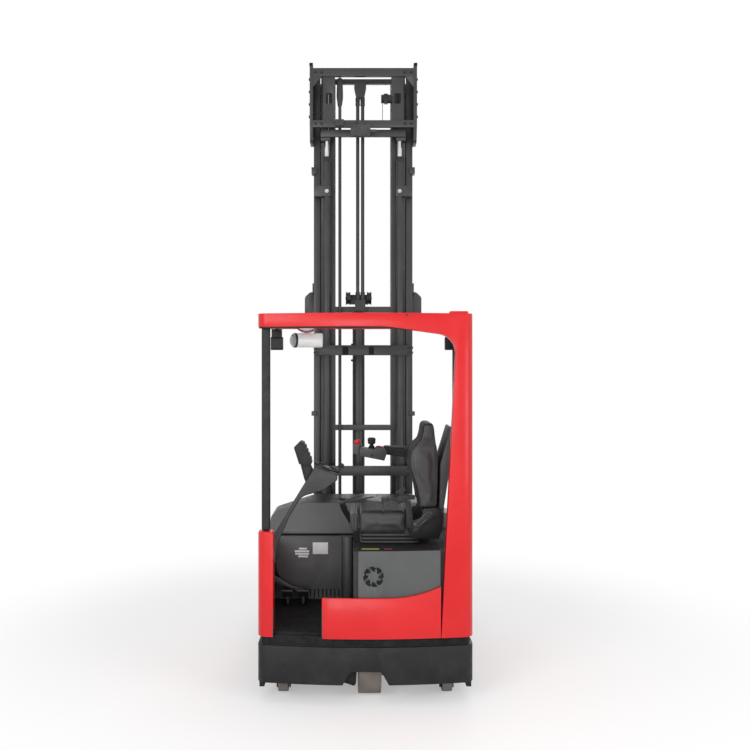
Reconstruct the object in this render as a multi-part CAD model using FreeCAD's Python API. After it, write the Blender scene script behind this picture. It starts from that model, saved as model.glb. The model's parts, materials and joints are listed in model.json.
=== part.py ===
import FreeCAD
import Part
import math
import os

# Reach truck: sit-on, three-stage mast on a moving carriage between two straddle arms.
# Lengths in mm. X to the right, Y towards the forks, Z up. While it is being built, Y = 0 is the
# plane of the two rear corners. The finished nodes are moved so that the origin lies on the floor
# under the middle of the whole truck.

Vector = FreeCAD.Vector

# ---- overall sizes
body_width = 1260.0        # over chassis, guard and straddle arms
body_half = body_width / 2
cab_length = 748.0         # rear corners to the battery bulkhead
bay_length = 402.0         # battery bay with its two bulkheads
chassis_front = cab_length + bay_length
straddle_length = 810.0    # straddle arm ahead of the chassis
straddle_front = chassis_front + straddle_length
guard_top = 2264.0
mast_top = 4096.0          # top of the closed mast stages

# ---- clearances
run_gap = 6.0              # between bodies that move past each other
seat_gap = 0.3             # between a piece and the seat or bearing that carries it
roller_gap = 0.5           # between a mast roller and the flange it runs on

# ---- chassis and body panels
skirt_bottom = 115.0
skirt_top = 333.0
skirt_wall = 22.0
skirt_corner = 60.0
tunnel_half = 46.0         # opening for the reach cylinder under the battery
bulge_apex = 92.0          # crossing point of the two rear tangents, behind the corners
bulge_radius = 3300.0
plate = 12.0               # general steel plate
panel_bottom = 380.0
panel_wall = 18.0
ledge_top = 388.0
floor_top = 408.0
panel_seam_x = body_half - 192
panel_left = -253.0
panel_flat_top = 616.0
panel_high_top = 679.0
column_right = -body_half + 92
column_top = 991.0
column_depth = 95.0
left_panel_top = 850.0
right_panel_top = 1000.0
battery_height = 590.0
battery_end_gap = 40.0     # between the battery and each side of the truck
battery_face_gap = 26.0    # between the battery and the far face of each bulkhead
tray_bottom = 225.0
hood_seam = 845.0
ledge_inset = panel_wall + seat_gap
hood_top = 1060.0
groove_depth = 14.0
foot_slot_count = 10
foot_slot_first = 188.0
foot_slot_pitch = 27.0

# ---- motor cover and drive
cover_left = -72.0
cover_trim = 29.0
cover_top = 885.0
cover_depth = 48.0         # of the foot well's moulded front wall
cover_wall = 8.0
cover_right = body_half - 70
cover_inset = panel_wall + 1.0
post_depth = 60.0
vent_x = 46.0
vent_z = 737.0
vent_radius = 50.0
drive_x = 25.0
drive_y = 170.0
drive_wheel_radius = 171.5
drive_wheel_width = 137.0
drive_deck_hole = 92.0
motor_radius = drive_deck_hole - 6.0
motor_top = 700.0
deck_bottom = 362.0
deck_top = 374.0
castor_x = body_half - 140
castor_y = 150.0
castor_radius = 75.0
castor_width = 60.0
castor_trail = 28.0
castor_stem_top = 340.0
castor_stem = 24.0
castor_crown = 176.0
castor_bore = 10.0
drive_bore = 30.0
castor_lift = 3.0          # the castors ride just clear of a level floor

# ---- guard
guard_band = 78.0
guard_rail = 50.0
guard_wall = 62.0
guard_front = cab_length + 52
pillar_depth = 110.0
post_x = -body_half + 45.5
post_size = 49.0
slat_count = 12
slat_depth = 34.0
band_bend = 120.0          # where the band starts to widen towards the pillar
band_radius = 900.0
band_drop = 56.0
neck_inset = 99.0          # foot of the band's widening, from the right-hand side
strip_height = 9.0
strip_depth = 28.0
strip_end = 272.0

# ---- steering console
console_rear = 212.0
console_depth = 100.0
display_keys = 4
console_middle = console_rear + console_depth / 2
pedal_x = (-body_half + 130, -body_half + 230)
console_face = (Vector(-302, console_middle, 1352), Vector(-172, console_middle, 1301))
wheel_axis = Vector(51, 0, 130).normalize()
wheel_centre = (console_face[0] + console_face[1]) * 0.5 + wheel_axis * (14 + seat_gap)
wheel_rim_radius = 76.0

# ---- seat
cheek_y = (150.0, 640.0)     # near and far cheeks of the seat shell
cushion_bottom = 949.0
backrest_bottom = 1092.0
stop_x = -45.0
stop_y = 610.0
stop_top = 1455.0

# ---- straddle arms and load wheels
arm_inner = body_half - 180
arm_bottom = 60.0
arm_top = 310.0
rail_depth = 28.0
rail_height = 80.0
rail_centre = 190.0
rail_end = straddle_front - 10
load_wheel_radius = 142.5
load_wheel_width = 100.0
load_wheel_y = straddle_front - 180
load_wheel_x = body_half - 88
load_bore = 22.0

# ---- reach carriage
reach_travel = 560.0
carriage_half = arm_inner - 10
carriage_rear = chassis_front + 18
carriage_front = chassis_front + 350
carriage_bottom = 62.0
cross_y = 400.0              # chassis cross member that the reach cylinder pushes against
reach_z = rail_centre - 40
reach_rod_radius = 16.0
carriage_roller_y = (carriage_rear + 42, rail_end - reach_travel - rail_height / 2 - run_gap)

# ---- mast stages: one channel section, each stage nested inside the one outside it
channel_width = 48.0
channel_depth = 180.0
channel_web = 14.0
channel_flange = 20.0
channel_root = 8.0
mast_rear = chassis_front + 150
head_rear = mast_rear - 130    # rear face of the crosshead's side plates
tie_rear = mast_rear - 88      # rear face of the middle stage's tie bars
outer_x = 314.0            # inner edge of the outer upright
stage_pitch = channel_width + run_gap
middle_x = outer_x - stage_pitch
inner_x = middle_x - stage_pitch
outer_bottom = 118.0
bar_rear = mast_rear - 124     # rear face of the outer stage's cross bars
outer_bars = ((1180.0, 1250.0), (2047.0, 2120.0))
head_bars = ((3688.0, 3738.0), (4054.0, 4113.0))
tie_bars = ((420.0, 470.0), (3630.0, 3681.0))
middle_bottom = 200.0
inner_bottom = 200.0
roller_width = 22.0
cylinder_x = outer_x - 49
cylinder_y = mast_rear - 38
cylinder_radius = 26.0
cylinder_bottom = 300.0
cylinder_top = 3495.0
lift_rod_radius = 17.0
lift_rod_top = 3608.0
lift_rod_bottom = 500.0
free_x = -33.0
free_y = mast_rear + 85
free_radius = 45.0
free_tube_bottom = 300.0
free_tube_top = 2400.0
free_rod_radius = 28.0
free_rod_bottom = 690.0
hose_x = -170.0
pair_x = (-40.0, -4.0)
pair_y = cylinder_y
hose_y = mast_rear - 48
pulley_bottom = 3868.0
pulley_top = 4058.0

# ---- fork carriage and forks
fork_length = 1150.0
fork_width = 120.0
fork_thickness = 40.0
fork_low = 30.0
fork_centre = 290.0
fork_bar_half = 365.0
fork_shank_top = 560.0
tilt_y = mast_rear + 230      # pivot of the tilting frame
tilt_z = 250.0
plate_front = mast_rear + 196 # front face of the fork carriage's plates
fork_rear = tilt_y + 76       # rear face of the fork shanks
slide_rails = ((170.0, 215.0), (470.0, 515.0))


# ---- helpers

def place(a, b, level, plane):
    if plane == "XY":
        return Vector(a, b, level)
    if plane == "XZ":
        return Vector(a, level, b)
    return Vector(level, a, b)


def rounded_wire(points, plane, level):
    """Closed outline from (a, b) or (a, b, radius) corners."""
    count = len(points)
    edges = []
    joints = []
    for i in range(count):
        corner = points[i]
        here = Vector(corner[0], corner[1], 0)
        radius = corner[2] if len(corner) > 2 else 0
        if not radius:
            joints.append((here, None, here))
            continue
        before = Vector(points[i - 1][0], points[i - 1][1], 0) - here
        after = Vector(points[(i + 1) % count][0], points[(i + 1) % count][1], 0) - here
        before.normalize()
        after.normalize()
        half = before.getAngle(after) / 2
        reach = radius / math.tan(half)
        middle = before + after
        middle.normalize()
        centre = here + middle * (radius / math.sin(half))
        joints.append((here + before * reach, centre - middle * radius, here + after * reach))
    for i in range(count):
        start, bend, end = joints[i]
        if bend is not None:
            arc = [place(p.x, p.y, level, plane) for p in (start, bend, end)]
            edges.append(Part.Arc(arc[0], arc[1], arc[2]).toShape())
        following = joints[(i + 1) % count][0]
        if end.distanceToPoint(following) > 0.001:
            line = [place(p.x, p.y, level, plane) for p in (end, following)]
            edges.append(Part.LineSegment(line[0], line[1]).toShape())
    return Part.Wire(edges)


def prism(points, plane, start, end):
    face = Part.Face(rounded_wire(points, plane, start))
    origin = place(0, 0, 0, plane)
    return face.extrude(place(0, 0, end - start, plane) - origin)


def box(x0, x1, y0, y1, z0, z1):
    return Part.makeBox(x1 - x0, y1 - y0, z1 - z0, Vector(x0, y0, z0))


def bar(radius, start, end):
    start = Vector(start)
    direction = Vector(end) - start
    return Part.makeCylinder(radius, direction.Length, start, direction)


def pipe(outer, inner, start, end):
    return bar(outer, start, end).cut(bar(inner, start, end))


def join(shapes):
    return shapes[0].multiFuse(shapes[1:]).removeSplitter()


def cut(shape, tools):
    for tool in tools:
        shape = shape.cut(tool)
    return shape


def mirrored(shape):
    return shape.mirror(Vector(0, 0, 0), Vector(1, 0, 0))


def is_along(edge, axis):
    if len(edge.Vertexes) < 2:
        return False
    line = edge.Vertexes[1].Point - edge.Vertexes[0].Point
    return edge.Curve.TypeId == "Part::GeomLine" and abs(abs(line * axis) - line.Length) < 0.001


def soften(shape, size, choose):
    """Straight chamfer along the chosen edges."""
    return shape.makeChamfer(size, [edge for edge in shape.Edges if choose(edge)])


def body_plan(inset, front):
    """Plan of the body: straight sides, round rear corners and a gently bulged rear."""
    half = body_half - inset
    corner = max(skirt_corner - inset, 12.0)
    return [(-half, front), (-half, inset, corner), (0, inset - bulge_apex, bulge_radius),
            (half, inset, corner), (half, front)]


def body_slab(inset, front, z0, z1):
    return prism(body_plan(inset, front), "XY", z0, z1)


rear_most = -bulge_apex - 10.0


# ---- chassis

def chassis():
    """Welded frame: bulged skirt with a wheel arch, deck over the drive, battery bay and castor sockets."""
    skirt = body_slab(0, chassis_front, skirt_bottom, skirt_top)
    skirt = skirt.cut(body_slab(skirt_wall, chassis_front - plate, skirt_bottom - 1, skirt_top + 1))
    arch_top = drive_wheel_radius + 21.5
    arch = prism([(-142, 100), (-128, 124), (-88, arch_top, 30), (92, arch_top, 30), (130, 124), (144, 100)],
                 "XZ", rear_most, 0)
    ledge = body_slab(ledge_inset, chassis_front, skirt_top - plate, ledge_top)
    ledge = ledge.cut(body_slab(ledge_inset + plate, chassis_front - plate, 0, 1000))
    deck = body_slab(ledge_inset + plate - 1, cab_length + 1, deck_bottom, deck_top)
    deck = deck.cut(bar(drive_deck_hole, (drive_x, drive_y, 0), (drive_x, drive_y, 1000)))
    inside = body_half - skirt_wall + 1
    low = skirt_bottom + 8
    cross = box(-inside, inside, cross_y, cross_y + plate, low, deck_bottom + 1)
    bulkheads = []
    between_covers = body_half - ledge_inset
    for y, z0 in ((cab_length, low), (chassis_front - plate, skirt_bottom)):
        bulkheads.append(box(-inside, inside, y, y + plate, z0, skirt_top - 1))
        bulkheads.append(box(-between_covers, between_covers, y, y + plate, skirt_top - 2, hood_seam - 10))
    tray = box(-inside, inside, cab_length + 1, chassis_front - 1, tray_bottom, tray_bottom + plate)
    foot_x = body_half - 23
    feet = [box(side * foot_x - 15, side * foot_x + 15, 36, 96, 77, skirt_bottom + 15) for side in (-1, 1)]
    sockets = []
    for side in (-1, 1):
        x = side * castor_x
        bottom = castor_crown + seat_gap
        half = castor_stem + 20
        socket = box(x - half, x + half, castor_y - half, castor_y + half, bottom, deck_bottom + 1)
        bore = bar(castor_stem + seat_gap, (x, castor_y, bottom - 1), (x, castor_y, deck_bottom))
        sockets.append(socket.cut(bore))
    frame = join([skirt.cut(arch), ledge, deck, cross, tray] + bulkheads + feet + sockets)
    tunnel = box(-tunnel_half, tunnel_half, cross_y - 10, chassis_front + 10,
                 reach_z - tunnel_half, reach_z + tunnel_half)
    return frame.cut(tunnel)


def floor_plate():
    slab = body_slab(ledge_inset + plate + seat_gap, cab_length - 3, deck_top + seat_gap, floor_top)
    keep = box(-body_half, cover_left - 1, rear_most, cab_length, 0, 1000)
    slab = slab.common(keep)
    column = box(-body_half, column_right + 1, rear_most, column_depth + 1, 0, 1000)
    return slab.cut(column)


def rear_panel():
    shell = body_slab(0, 300, panel_bottom, 900).cut(body_slab(panel_wall, 301, 0, 1000))
    low = 300
    corners = [Vector(panel_seam_x, 0, panel_high_top), Vector(panel_seam_x, 0, low),
               Vector(panel_left, 0, low), Vector(panel_left, 0, panel_flat_top),
               Vector(125, 0, panel_flat_top)]
    edges = [Part.LineSegment(corners[i], corners[i + 1]).toShape() for i in range(4)]
    rise = Part.Arc(corners[4], Vector(300, 0, 634), corners[0])
    outline = Part.Face(Part.Wire(edges + [rise.toShape()]))
    outline.translate(Vector(0, rear_most, 0))
    return shell.common(outline.extrude(Vector(0, 200, 0)))


def corner_column():
    solid = body_slab(0, 400, panel_bottom, column_top)
    keep = prism([(-700, column_depth), (-700, rear_most), (column_right, rear_most, 0),
                  (column_right, column_depth, 20)], "XY", 0, 2000)
    solid = solid.common(keep).cut(body_slab(panel_wall, 400, 0, ledge_top + seat_gap))
    return soften(solid, 8.0, lambda edge: abs(edge.BoundBox.ZMin - column_top) < 0.01)


def side_panels():
    """Side skins of the cab and the covers beside the battery, one behind the other on each side."""
    rear = column_depth + seat_gap
    left = prism([(rear, panel_bottom), (cab_length, panel_bottom), (cab_length, left_panel_top, 30),
                  (rear, left_panel_top, 30)], "YZ", -body_half, -body_half + panel_wall)
    rear = pillar_depth + seat_gap
    right = prism([(rear, panel_bottom), (cab_length, panel_bottom), (cab_length, hood_seam),
                   (600, hood_seam, 60), (420, right_panel_top, 60), (rear, right_panel_top)],
                  "YZ", body_half - panel_wall, body_half)
    covers = []
    for side in (-1, 1):
        x0, x1 = sorted((side * (body_half - panel_wall), side * body_half))
        start = cab_length + seat_gap
        top = hood_seam - seat_gap
        covers.append(prism([(start, panel_bottom), (chassis_front, panel_bottom, 8), (chassis_front, top, 8),
                             (start, top)], "YZ", x0, x1))
    return [left, right] + covers


def battery():
    half = body_half - battery_end_gap
    z0 = tray_bottom + plate + seat_gap
    rear = cab_length + battery_face_gap
    return box(-half, half, rear, chassis_front - battery_face_gap, z0, z0 + battery_height)


def hood():
    """Battery hood: its rear face leans forward and is cut by a curved groove beside the seat."""
    rear = cab_length - 8
    side_profile = prism([(rear, hood_seam), (rear, hood_seam + 22, 12), (rear + 138, hood_top - 30, 60),
                          (chassis_front, hood_top, 25), (chassis_front, hood_seam)],
                         "YZ", -body_half, body_half)
    shoulder = body_half - 300
    top_profile = prism([(-body_half, hood_seam), (-body_half, 960, 40), (-shoulder, hood_top, 220),
                         (shoulder, hood_top + 2, 220), (body_half, 935, 40), (body_half, hood_seam)],
                        "XZ", cab_length - 20, chassis_front + 10)
    lid = side_profile.common(top_profile)
    low = hood_seam - 5
    groove = prism([(-189, 1080), (-150, 980, 150), (-97, 905, 120), (-55, low), (-15, low),
                    (-72, 925, 120), (-112, 993, 150), (-140, 1080)], "XZ", rear - 5, cab_length + 250)
    floor_of_groove = side_profile.copy()
    floor_of_groove.translate(Vector(0, groove_depth, -groove_depth / 3))
    catch = prism([(119, 985), (119, 1072, 12), (181, 1080, 12), (181, 985)], "XZ", rear + 60, rear + 170)
    return join([lid.cut(groove.cut(floor_of_groove)), catch])


def bulkhead_cover():
    """Moulded front wall of the foot well with a row of air slots, and the round post beside it."""
    z0 = floor_top + seat_gap
    z1 = hood_seam - 12
    front = cab_length - seat_gap
    rear = front - cover_depth
    left = -body_half + 32
    right = cover_left - 78
    panel = prism([(left, z1), (left, z0 + 150, 200), (left + 218, z0, 160), (right, z0), (right, z1)],
                  "XZ", rear, front)
    panel = soften(panel, 14.0, lambda edge: abs(edge.BoundBox.YMax - rear) < 0.01
                   and edge.BoundBox.XMax < right - 0.5 and edge.BoundBox.ZMin < z1 - 1)
    slots = []
    for i in range(foot_slot_count):
        x = left + foot_slot_first + i * foot_slot_pitch
        slots.append(box(x - 4, x + 4, rear - 1, rear + 8, z0 + 18, z0 + 76))
    column_x = cover_left - 37
    column = bar(34.0, (column_x, rear + 8, z0), (column_x, rear + 8, z1))
    column = column.common(box(right, column_x + 49, rear - 40, front, 0, 1000))
    web = box(right - 1, column_x, rear + 18, front, z0, z1)
    return join([panel.cut(Part.makeCompound(slots)), web, column])


# ---- motor cover

def motor_cover():
    """Hollow box over the drive, with a ring of slanted air slots in its rear wall."""
    left = cover_left
    right = cover_right
    front = cab_length - 12
    outer = body_slab(cover_inset, front, ledge_top + seat_gap, cover_top)
    outer = outer.common(box(left, right, rear_most, cab_length, 0, 1000))
    inner = body_slab(cover_inset + cover_wall, front - cover_wall, panel_bottom - 1, cover_top - cover_wall)
    inner = inner.common(box(left + cover_wall, right - cover_wall, rear_most, cab_length, 0, 1000))
    pillar_side = box(panel_seam_x - 1, body_half, rear_most, pillar_depth + 2, 0, 1000)
    behind = body_slab(guard_wall + 2, 400, 0, 1000)
    outer = outer.cut(pillar_side.cut(behind))
    thinner = pillar_side.cut(body_slab(guard_wall + 2 + cover_wall, 400, 0, 1000))
    inner = inner.cut(thinner)
    rebate = box(left - 1, left + cover_trim + 0.5, rear_most, post_depth + 0.5, 0, 1000)
    outer = outer.cut(rebate)
    around = box(left - 1, left + cover_trim + cover_wall, rear_most, post_depth + cover_wall, 0, 1000)
    inner = inner.cut(around)
    shell = outer.cut(inner)
    slots = []
    for i in range(8):
        for k in (-1, 0, 1):
            turn = math.radians(45 * i + 11 * k)
            x = vent_x + vent_radius * math.cos(turn)
            z = vent_z + vent_radius * math.sin(turn)
            slot = box(-3, 3, rear_most, 60, -11, 11)
            slot.rotate(Vector(0, 0, 0), Vector(0, 1, 0), 25 + 90 * (i // 2))
            slot.translate(Vector(x, 0, z))
            slots.append(slot)
    return shell.cut(Part.makeCompound(slots))


def cover_post():
    slab = body_slab(panel_wall + seat_gap, 200, ledge_top + seat_gap, cover_top)
    keep = box(cover_left, cover_left + cover_trim, rear_most, post_depth, 0, 1000)
    return slab.common(keep)


# ---- guard

def guard_frame():
    """Roof ring, rear band and the right-hand pillar that runs down into the body, in one piece."""
    z0 = guard_top - guard_band
    wide = body_half + 5
    neck = body_half - neck_inset
    outline = prism([(-wide, guard_top), (-wide, z0), (band_bend, z0, band_radius),
                     (neck, z0 - band_drop, 110), (neck - 26, 1600, 3000), (panel_seam_x + 2, panel_bottom),
                     (wide, panel_bottom), (wide, guard_top)], "XZ", rear_most, pillar_depth)
    rear = body_slab(0, pillar_depth, panel_bottom, guard_top).common(outline)
    rear = rear.cut(body_slab(guard_wall, pillar_depth + 1, 0, 3000))
    rear = rear.cut(body_slab(panel_wall, pillar_depth + 1, 0, ledge_top + seat_gap))
    ring = body_slab(0, guard_front, guard_top - guard_rail, guard_top)
    ring = ring.cut(body_slab(guard_wall, guard_front - guard_wall, 0, 3000))
    left = body_half - 138
    right = body_half - 30
    top = guard_top + 14
    cap = prism([(left, guard_top - 1), (left, top, 8), (right, top, 8), (right, guard_top - 1)], "XZ", 6, 56)
    return join([rear, ring, cap])


def roof_grille():
    """Slats of the overhead guard between two cross bars, and the dark strip under the rear band."""
    slats = []
    x0 = -body_half + guard_wall + seat_gap
    front = guard_front - guard_wall - seat_gap
    z0 = guard_top - guard_rail + 4
    z1 = z0 + slat_depth
    for y in (guard_wall + 12, front - 12):
        slats.append(box(x0, -x0, y, y + 12, z0, z1))
    first = x0 + 40
    pitch = -2 * first / (slat_count - 1)
    for i in range(slat_count):
        x = first + i * pitch
        slats.append(box(x - 5, x + 5, guard_wall + 20, front - 6, z0, z1))
    top = guard_top - guard_band - seat_gap
    end = top - band_drop * (strip_end - band_bend) / (body_half - neck_inset - band_bend)
    strip = prism([(-body_half, top), (band_bend, top, band_radius), (strip_end, end), (strip_end, end - 3),
                   (band_bend, top - strip_height, band_radius), (-body_half, top - strip_height)],
                  "XZ", rear_most, strip_depth)
    strip = strip.common(body_slab(2, 90, 0, 3000)).cut(body_slab(strip_depth, 91, 0, 3000))
    return [join(slats), strip]


def guard_posts():
    half = post_size / 2
    z1 = guard_top - guard_band - seat_gap
    left = prism([(post_x - half, 30, 12), (post_x + half, 30, 12), (post_x + half, 30 + post_size, 12),
                  (post_x - half, 30 + post_size, 12)], "XY", column_top + seat_gap, z1)
    z0 = hood_seam + seat_gap
    z1 = guard_top - guard_rail - seat_gap
    right = prism([(guard_front - 120, z1), (guard_front - 120, 1500, 300), (cab_length - 112, z0),
                   (cab_length - 60, z0), (guard_front - 72, 1500, 300), (guard_front - 72, z1)],
                  "YZ", body_half - 42, body_half - 4)
    return left, right


def cab_lamp():
    """White work lamp that faces the left, hung from a round base under the guard."""
    y = 376
    z = guard_top - 142
    barrel = bar(38.0, (-441, y, z), (-262, y, z))
    bezel = bar(46.0, (-476, y, z), (-440, y, z))
    z1 = guard_top - guard_rail + 4 - seat_gap
    base = bar(62.0, (-360, y, z1 - 20), (-360, y, z1))
    neck = box(-378, -342, y - 18, y + 18, z + 18, z1 - 19)
    return join([barrel, bezel, base, neck])


def work_lights():
    lights = []
    rear = guard_front - 62
    z0 = guard_top - 192
    z1 = guard_top - guard_rail - seat_gap
    for side in (-1, 1):
        x0, x1 = sorted((side * (body_half - 86), side * (body_half - 6)))
        lens = prism([(rear, z0 + 12), (rear + 12, z0), (rear + 58, z0 + 8), (rear + 58, z0 + 80),
                      (rear + 12, z0 + 88), (rear, z0 + 76)], "YZ", x0, x1)
        middle = (x0 + x1) / 2
        arm = box(middle - 8, middle + 8, rear + 12, rear + 47, z0 + 78, z1)
        lights.append(join([lens, arm]))
    return lights


# ---- cab fittings

def steering_console():
    """Arm that rises from the left wall and carries the steering wheel on its sloping head."""
    wall = -body_half + panel_wall + seat_gap
    foot = left_panel_top - 90
    outline = [(wall, foot), (wall, 880, 30), (wall + 54, 935, 200), (-385, 1215, 200), (-302, 1352, 12),
               (-172, 1301, 10), (-166, 1267, 14), (-251, 1205, 40), (-387, 1165, 90), (-461, 1041, 200),
               (wall + 82, 880, 60), (wall + 67, foot)]
    body = prism(outline, "XZ", console_rear, console_rear + console_depth)
    return soften(body, 5.0, lambda edge: edge.BoundBox.YLength < 0.01
                  and edge.BoundBox.ZMin > left_panel_top)


def display_unit():
    """Display on a neck at the head of the console, with keys along its right-hand face."""
    rear = console_rear - 8
    front = console_rear + console_depth + 8
    body = prism([(-432, 1465, 8), (-395, 1502, 10), (-374, 1497, 8), (-322, 1372, 6), (-330, 1356),
                  (-400, 1364, 8)], "XZ", rear, front)
    neck = prism([(-396, 1370), (-334, 1362), (-318.5, 1325.8), (-362.5, 1253.2), (-372, 1275, 20)],
                 "XZ", console_rear + 22, console_rear + console_depth - 22)
    top_key = Vector(-374, 0, 1497)
    edge = Vector(-322, 0, 1372) - top_key
    lean = math.degrees(math.atan2(-edge.z, edge.x))
    keys = []
    for i in range(display_keys):
        middle = top_key + edge * ((i + 1) / (display_keys + 1))
        key = box(-8, 8, rear + 10, front - 10, -3, 5)
        key.rotate(Vector(0, 0, 0), Vector(0, 1, 0), lean)
        key.translate(middle)
        keys.append(key)
    return join([body, neck] + keys)


def steering_wheel():
    """Flat rim on a hub and three spokes, square to the sloping face of the console."""
    inside = wheel_rim_radius - 9
    outside = wheel_rim_radius + 9
    rim = revolved([(inside, -6), (outside, -6), (outside, 6), (inside, 6)], (0, 0, 0), (0, 0, 1))
    hub = bar(24.0, (0, 0, -14), (0, 0, 6))
    spokes = []
    for k in range(3):
        spoke = box(10, wheel_rim_radius, -8, 8, -4, 3)
        spoke.rotate(Vector(0, 0, 0), Vector(0, 0, 1), 90 + 120 * k)
        spokes.append(spoke)
    stem = box(wheel_rim_radius - 6, wheel_rim_radius + 6, -6, 6, 4, 28)
    knob = bar(18.0, (wheel_rim_radius, 0, 27), (wheel_rim_radius, 0, 56))
    solid = join([rim, hub, stem, knob] + spokes)
    solid.Placement = FreeCAD.Placement(Vector(wheel_centre), FreeCAD.Rotation(Vector(0, 0, 1), wheel_axis))
    return solid


def seat_base():
    """Suspension bellows: three folds one above the other."""
    layers = []
    heights = [(885.3, 903, 0), (903, 908, 14), (908, 926, 0), (926, 931, 14), (931, 948.7, 4)]
    for z0, z1, inset in heights:
        layers.append(box(-30 + inset, 330 - inset, 180 + inset, 620 - inset, z0, z1))
    return join(layers)


def seat_cushion():
    outline = [(-91, cushion_bottom, 30), (-91, 1085, 44), (262, 1085, 12), (262, cushion_bottom)]
    return prism(outline, "XZ", cheek_y[0] + 15, cheek_y[1] - 5)


def seat_backrest():
    bottom = backrest_bottom
    outline = [(327, bottom, 10), (321, 1170, 150), (268, 1345, 130), (276, 1446, 80), (345, 1512, 60),
               (350, 1626, 26), (425, 1626, 26), (449, 1380, 400), (432, bottom, 10)]
    return prism(outline, "XZ", cheek_y[0] + 22, cheek_y[1] - 12)


def seat_shell():
    """Pan and side cheeks under the cushions, with the recliner lever and belt buckle on the near cheek."""
    outline = [(264, 1022), (268, 926), (440, 922), (466, 980), (468, 1080), (424, 1106), (352, 1102),
               (341, 1048)]
    near_y, far_y = cheek_y
    near = prism(outline, "XZ", near_y, near_y + 10)
    far = prism(outline, "XZ", far_y, far_y + 10)
    back = box(436, 452, near_y + 8, far_y + 2, 960, 1096)
    pan = box(268, 450, near_y + 8, far_y + 2, cushion_bottom, cushion_bottom + 11)
    rest = box(345, 440, near_y + 8, far_y + 2, 1078, backrest_bottom - seat_gap)
    pivot = bar(18.0, (308, near_y - 10, 974), (308, near_y + 1, 974))
    lever = prism([(300, 966), (318, 960), (350, 1010, 60), (414, 1052), (404, 1066), (334, 1026, 60)],
                  "XZ", near_y - 12, near_y + 1)
    stalk = prism([(247, 990), (285, 990), (285, 1060), (272, 1150), (238, 1150), (247, 1060)],
                  "XZ", near_y - 16, near_y + 1)
    bracket = prism([(188, 1160), (213, 1188), (299, 1182), (293, 1163), (256, 1160), (232, 1145),
                     (194, 1133)], "XZ", near_y - 28, near_y + 8)
    buckle = prism([(179, 1204), (205, 1216), (232, 1232), (247, 1216), (230, 1205), (230, 1180), (205, 1180),
                    (205, 1195), (188, 1190)], "XZ", near_y - 20, near_y)
    return join([near, far, back, pan, rest, pivot, lever, stalk, bracket, buckle])


def back_brace():
    """Leaning panel behind the backrest, carried by the back of the seat shell."""
    rear = 452 + seat_gap
    outline = [(rear, 1000), (rear, 1092), (458, 1363, 100), (526, 1584, 8), (543, 1588, 8), (538, 1401, 80),
               (505, 1250, 60), (482, 1100), (482, 1000)]
    return prism(outline, "XZ", 230, 570)


def armrest():
    """Arm beyond the backrest with its console, hand lever and stop-switch housing."""
    arm = prism([(118, 1427), (283, 1420), (470, 1385, 20), (470, 1000), (445, 1000), (440, 1330, 30),
                 (270, 1363), (118, 1385)], "XZ", cheek_y[1] + 10 + seat_gap, cheek_y[1] + 36)
    console = prism([(-30, 1434), (70, 1424), (80, 1436), (128, 1430), (150, 1408), (130, 1349), (-30, 1380)],
                    "XZ", stop_y - 45, stop_y + 62)
    stem = box(40, 56, stop_y - 8, stop_y + 8, 1420, 1450)
    knob = bar(24.0, (48, stop_y, 1449), (48, stop_y, 1498))
    housing = bar(26.0, (stop_x, stop_y, 1389), (stop_x, stop_y, stop_top))
    return join([arm, console, stem, knob, housing])


def stop_buttons():
    cap = bar(20.0, (stop_x, stop_y, stop_top + seat_gap), (stop_x, stop_y, stop_top + 26))
    flap = prism([(84, 1435.8 + seat_gap), (124, 1430.8 + seat_gap), (122, 1440), (88, 1444)],
                 "XZ", stop_y - 20, stop_y + 20)
    return [cap, flap]


def pedals():
    plates = []
    rear = cab_length - 108
    for x in pedal_x:
        pad = box(-38, 38, -5, 5, 0, 110)
        pad.rotate(Vector(0, 0, 0), Vector(1, 0, 0), 55)
        pad.translate(Vector(x, rear, floor_top + 40))
        stem = box(x - 8, x + 8, rear - 20, rear + 58, floor_top + seat_gap, floor_top + 50)
        plates.append(join([pad, stem]))
    return plates


# ---- running gear

def revolved(points, centre, axis):
    """Wheel or ring: (radius, along) corners turned about an axis through centre."""
    solid = Part.Face(rounded_wire(points, "XZ", 0)).revolve(Vector(0, 0, 0), Vector(0, 0, 1), 360)
    turn = FreeCAD.Rotation(Vector(0, 0, 1), Vector(axis))
    solid.Placement = FreeCAD.Placement(Vector(centre), turn)
    return solid


def wheel(radius, width, bore, centre, bevel):
    """Solid wheel on an axis along X; the bevel takes the edges off its tread."""
    half = width / 2
    outline = [(bore, -half), (radius, -half), (radius, half), (bore, half)]
    if bevel:
        inside = half - bevel
        outline[1:3] = [(radius - bevel, -half), (radius, -inside), (radius, inside), (radius - bevel, half)]
    return revolved(outline, centre, (1, 0, 0))


def drive_unit():
    """Slewing head under the deck with the gearbox leg beside the wheel and the motor on top."""
    middle = (drive_x, drive_y)
    disc_top = deck_bottom - seat_gap
    disc_bottom = drive_wheel_radius * 2 + run_gap
    disc = bar(150.0, middle + (disc_bottom,), middle + (disc_top,))
    motor = bar(motor_radius, middle + (disc_bottom,), middle + (motor_top,))
    side = drive_x + drive_wheel_width / 2 + run_gap
    leg = prism([(drive_y - 62, disc_bottom + 1), (drive_y - 62, drive_wheel_radius), (drive_y - 30, 105),
                 (drive_y + 30, 105), (drive_y + 62, drive_wheel_radius), (drive_y + 62, disc_bottom + 1)],
                "YZ", side, side + 46)
    shaft = bar(drive_bore - seat_gap, (side - drive_wheel_width, drive_y, drive_wheel_radius),
                (side + 1, drive_y, drive_wheel_radius))
    return join([disc, motor, leg, shaft])


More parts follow.
